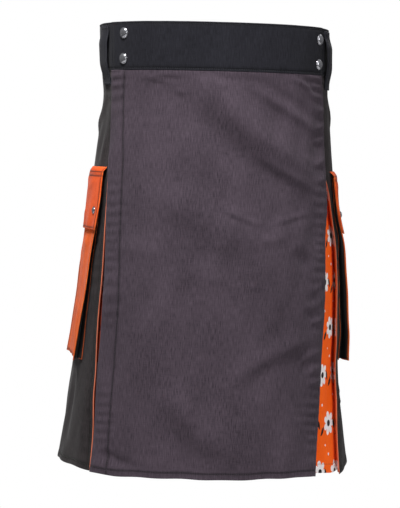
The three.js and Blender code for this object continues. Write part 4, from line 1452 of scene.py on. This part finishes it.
def pocket_layer(node, finish, side, layer, rows, cloth, inner_level, overhang, seams, step):
    """One layer of a pocket: its back, its front face or its flap."""
    top, foot = rows
    width = POCKET["width"] + (2 * POCKET["flare"] if layer == "face" else 0) + 2 * overhang
    length = foot - top

    def place(u, v, face):
        drop = top + v
        first, last = pocket_edges(side, drop)[layer]
        arc = mix(first - side * overhang, last + side * overhang, u / width)
        relief = seam_relief(seams, u, v, width, length)
        out = inner_level(arc, drop) + face * (cloth + relief)
        return spot(arc, drop, out), np.stack([u, -drop + 0 * u], axis=-1)

    sewn_piece(node, finish, place, (width, length), (step, step), seams, cloth)


def gusset_levels(side, arc, drop):
    """The levels between which a bellows strip runs, from the back layer to the face."""
    low = POCKET_GAP + POCKET_BACK_CLOTH + GUSSET_CLOTH / 2
    high = pocket_stand(side, arc, drop) - PANEL_CLOTH - GUSSET_CLOTH / 2
    return low, high


def gusset_piece(node, place, path, lines):
    """A bellows strip, sewn to its pocket's back: lines along its folded path and down it."""
    along = np.arange(rounded(path).shape[-2], dtype=float)
    cloth_piece(node, "gusset", place, along, lines, GUSSET_CLOTH, rims=(0.3, 0.4))


def side_gusset(node, side, end):
    """The bellows strip of a pocket's front or rear edge, folded in along its middle."""
    top, foot = POCKET["top"] + GUSSET_CLEAR["top"], POCKET["foot"] - GUSSET_CLEAR["foot"]
    inward = side if end == 0 else -side

    def path_at(drop):
        edges = pocket_edges(side, drop)
        back = edges["back"][end] + inward * 0.8
        face = edges["face"][end] + inward * 3
        low, high = gusset_levels(side, face, drop)
        tuck = back + inward * (GUSSET_TUCK - 0.5)
        _, tucked = gusset_levels(side, tuck + inward, drop)
        folds = [(back, low), (tuck, mix(low, tucked, 0.2)), (tuck, mix(low, tucked, 0.7)), (face, high)]
        return joined(folds)

    place = folded_place(path_at, GUSSET_CLOTH, top)
    gusset_piece(node, place, path_at(np.array(float(top))), grid_lines(foot - top, 5))


def base_gusset(node, side):
    """The bellows strip along a pocket's foot, folded up between its layers."""
    inset, foot = GUSSET_TUCK + GUSSET_CLEAR["corner"], POCKET["foot"] - GUSSET_CLEAR["base"]
    tip = foot - GUSSET_TUCK
    first, last = pocket_edges(side, float(foot))["back"]
    width = abs(last - first) - 2 * inset

    def fold_at(arc):
        low, high = gusset_levels(side, arc, float(foot))
        upper = tip + 0.5
        tucked = [(upper, mix(low, high, 0.25)), (upper, mix(low, high, 0.65))]
        return joined([(foot, low), *tucked, (foot, high)])

    def place(u, v, face):
        u, v = np.broadcast_arrays(u, v)
        arc = first + side * (inset + v)
        moved, length = walk(rounded(fold_at(arc)), u, (face - 0.5) * GUSSET_CLOTH + 0 * u)
        return spot(arc, moved[..., 0], moved[..., 1]), np.stack([v, -length], axis=-1)

    gusset_piece(node, place, fold_at(np.array(float(first))), grid_lines(width, 4))


def make_pocket(side):
    """One cargo pocket: back layer, bellows strips, front face, flap and its two snaps."""
    word = SIDE_WORDS[side]
    name = f"pocket_{word}"
    body_rows = (POCKET["top"], POCKET["foot"])
    edge_rows = fine_rows("left", "right", "foot")
    pocket_layer(
        f"{name}_back", "lining", side, "back", body_rows, POCKET_BACK_CLOTH,
        lambda arc, drop: POCKET_GAP + 0 * arc, 0, [], 6,
    )
    side_gusset(f"{name}_gusset_front", side, 0)
    side_gusset(f"{name}_gusset_rear", side, 1)
    base_gusset(f"{name}_gusset_base", side)
    pocket_layer(
        f"{name}_front", "face", side, "face", body_rows, PANEL_CLOTH,
        lambda arc, drop: pocket_stand(side, arc, drop) - PANEL_CLOTH + pocket_puff(side, arc, drop),
        0, edge_rows, 3.6,
    )
    pocket_layer(
        f"{name}_flap", "pocket", side, "face", (FLAP["top"], FLAP["foot"]), FLAP_CLOTH,
        lambda arc, drop: flap_level(side, arc, drop)
        + pocket_puff(side, arc, drop) * smoothstep(FLAP["top"], FLAP["top"] + 12, drop),
        FLAP["overhang"],
        [*edge_rows, *(seam_row("top", inset) for inset in FLAP["rows"])], 3,
    )
    for end, place_word in ((0, "front"), (1, "rear")):
        inward = side if end == 0 else -side

        def surface(shift_arc, shift_drop, end=end, inward=inward):
            drop = np.array(float(POCKET_SNAP_DROP + shift_drop))
            edge = pocket_edges(side, drop)["face"][end]
            arc = edge + inward * (POCKET_SNAP_INSET - FLAP["overhang"]) + shift_arc
            level = flap_level(side, arc, drop) + FLAP_CLOTH + pocket_puff(side, arc, drop)
            return spot(arc, drop, level)

        snap_cap(f"snap_{name}_{place_word}", POCKET_SNAP, surface)


# Studio
CAMERA = {"distance": 2500, "height": -140.4, "lens": 124.72}
CAMERA_TURN = {"azimuth": -5, "pitch": 3.35, "roll": 1.3, "yaw": 0.31}
FLOOR_Z = -1.06


def make_camera():
    """The photograph's angle: a little to the left of the front, and looking slightly down."""
    turn, pitch, roll, yaw = (math.radians(angle) for angle in CAMERA_TURN.values())
    ahead = Vector((-math.sin(turn), math.cos(turn), 0))
    right = Vector((math.cos(turn), math.sin(turn), 0))
    upward = Vector((0, 0, 1))
    eye = Vector((0, 0, CAMERA["height"] * MM)) - ahead * CAMERA["distance"] * MM
    forward = ahead * math.cos(pitch) - upward * math.sin(pitch)
    up = ahead * math.sin(pitch) + upward * math.cos(pitch)
    forward, right = (
        forward * math.cos(yaw) - right * math.sin(yaw),
        right * math.cos(yaw) + forward * math.sin(yaw),
    )
    right, up = (
        right * math.cos(roll) + up * math.sin(roll),
        up * math.cos(roll) - right * math.sin(roll),
    )
    data = bpy.data.cameras.new("camera")
    data.lens = CAMERA["lens"]
    data.sensor_width = 36
    camera = bpy.data.objects.new("camera", data)
    axes = Matrix((right, up, -forward)).transposed().to_4x4()
    camera.matrix_world = Matrix.Translation(eye) @ axes
    bpy.context.scene.collection.objects.link(camera)
    bpy.context.scene.camera = camera


def area_light(name, place, size, power):
    """A soft lamp that looks at the middle of the kilt."""
    data = bpy.data.lights.new(name, "AREA")
    data.shape = "RECTANGLE"
    data.size, data.size_y = size
    data.energy = power
    lamp = bpy.data.objects.new(name, data)
    lamp.location = place
    aim = Vector((0, 0, -0.25)) - Vector(place)
    lamp.rotation_euler = aim.to_track_quat("-Z", "Y").to_euler()
    bpy.context.scene.collection.objects.link(lamp)


FLOOR_RADIUS = 1.85
SKY = {"low": 0.05, "high": 0.42}
LAMPS = {
    "key": ((-0.45, -0.8, 1.3), (0.4, 0.4), 57),
    "fill": ((1.6, -2.2, 0.5), (1.3, 1.3), 25),
    "back": ((0.5, 2.4, 1.5), (1.8, 1.4), 40),
}


def make_floor():
    """A pale round floor well below the hem."""
    angle = 2 * math.pi * np.arange(64) / 64
    rim = np.stack([FLOOR_RADIUS * np.cos(angle), FLOOR_RADIUS * np.sin(angle), 0 * angle + FLOOR_Z], axis=1)
    mesh = bpy.data.meshes.new("floor")
    mesh.from_pydata(rim.tolist(), [], [tuple(range(64))])
    floor = bpy.data.objects.new("floor", mesh)
    mesh.materials.append(floor_finish())
    bpy.context.scene.collection.objects.link(floor)


def make_surround():
    """A white surround for the camera. The light that it gives is brighter from above."""
    world = bpy.data.worlds.new("surround")
    world.use_nodes = True
    tree = world.node_tree
    glow = tree.nodes["Background"]
    glow.inputs["Color"].default_value = (1, 1, 1, 1)
    parts = tree.nodes.new("ShaderNodeSeparateXYZ")
    ways = tree.nodes.new("ShaderNodeTexCoord")
    rise = tree.nodes.new("ShaderNodeMapRange")
    for socket, number in zip(list(rise.inputs)[1:5], (-1, 1, SKY["low"], SKY["high"])):
        socket.default_value = number
    seen = tree.nodes.new("ShaderNodeBackground")
    seen.inputs["Color"].default_value = (1, 1, 1, 1)
    rays = tree.nodes.new("ShaderNodeLightPath")
    choose = tree.nodes.new("ShaderNodeMixShader")
    for source, target in (
        (ways.outputs["Generated"], parts.inputs["Vector"]),
        (parts.outputs["Z"], rise.inputs["Value"]),
        (rise.outputs["Result"], glow.inputs["Strength"]),
        (rays.outputs["Is Camera Ray"], choose.inputs[0]),
        (glow.outputs[0], choose.inputs[1]),
        (seen.outputs[0], choose.inputs[2]),
        (choose.outputs[0], tree.nodes["World Output"].inputs["Surface"]),
    ):
        tree.links.new(source, target)
    bpy.context.scene.world = world


def make_studio():
    """A plain studio: a pale floor, a white surround and three soft lamps."""
    make_floor()
    make_surround()
    for name, (place, size, power) in LAMPS.items():
        area_light(name, place, size, power)
    bpy.context.scene.view_settings.view_transform = "Standard"


make_camera()
make_waistband()
make_panels()
make_pleats()
for loop_node, loop_place in BELT_LOOPS.items():
    belt_loop(loop_node, **loop_place)
make_band_snaps()
for pocket_side in SIDE_WORDS:
    make_pocket(pocket_side)
for thread_name, thread_material in THREADS.items():
    sewing(thread_name, thread_name, thread_material)
make_studio()
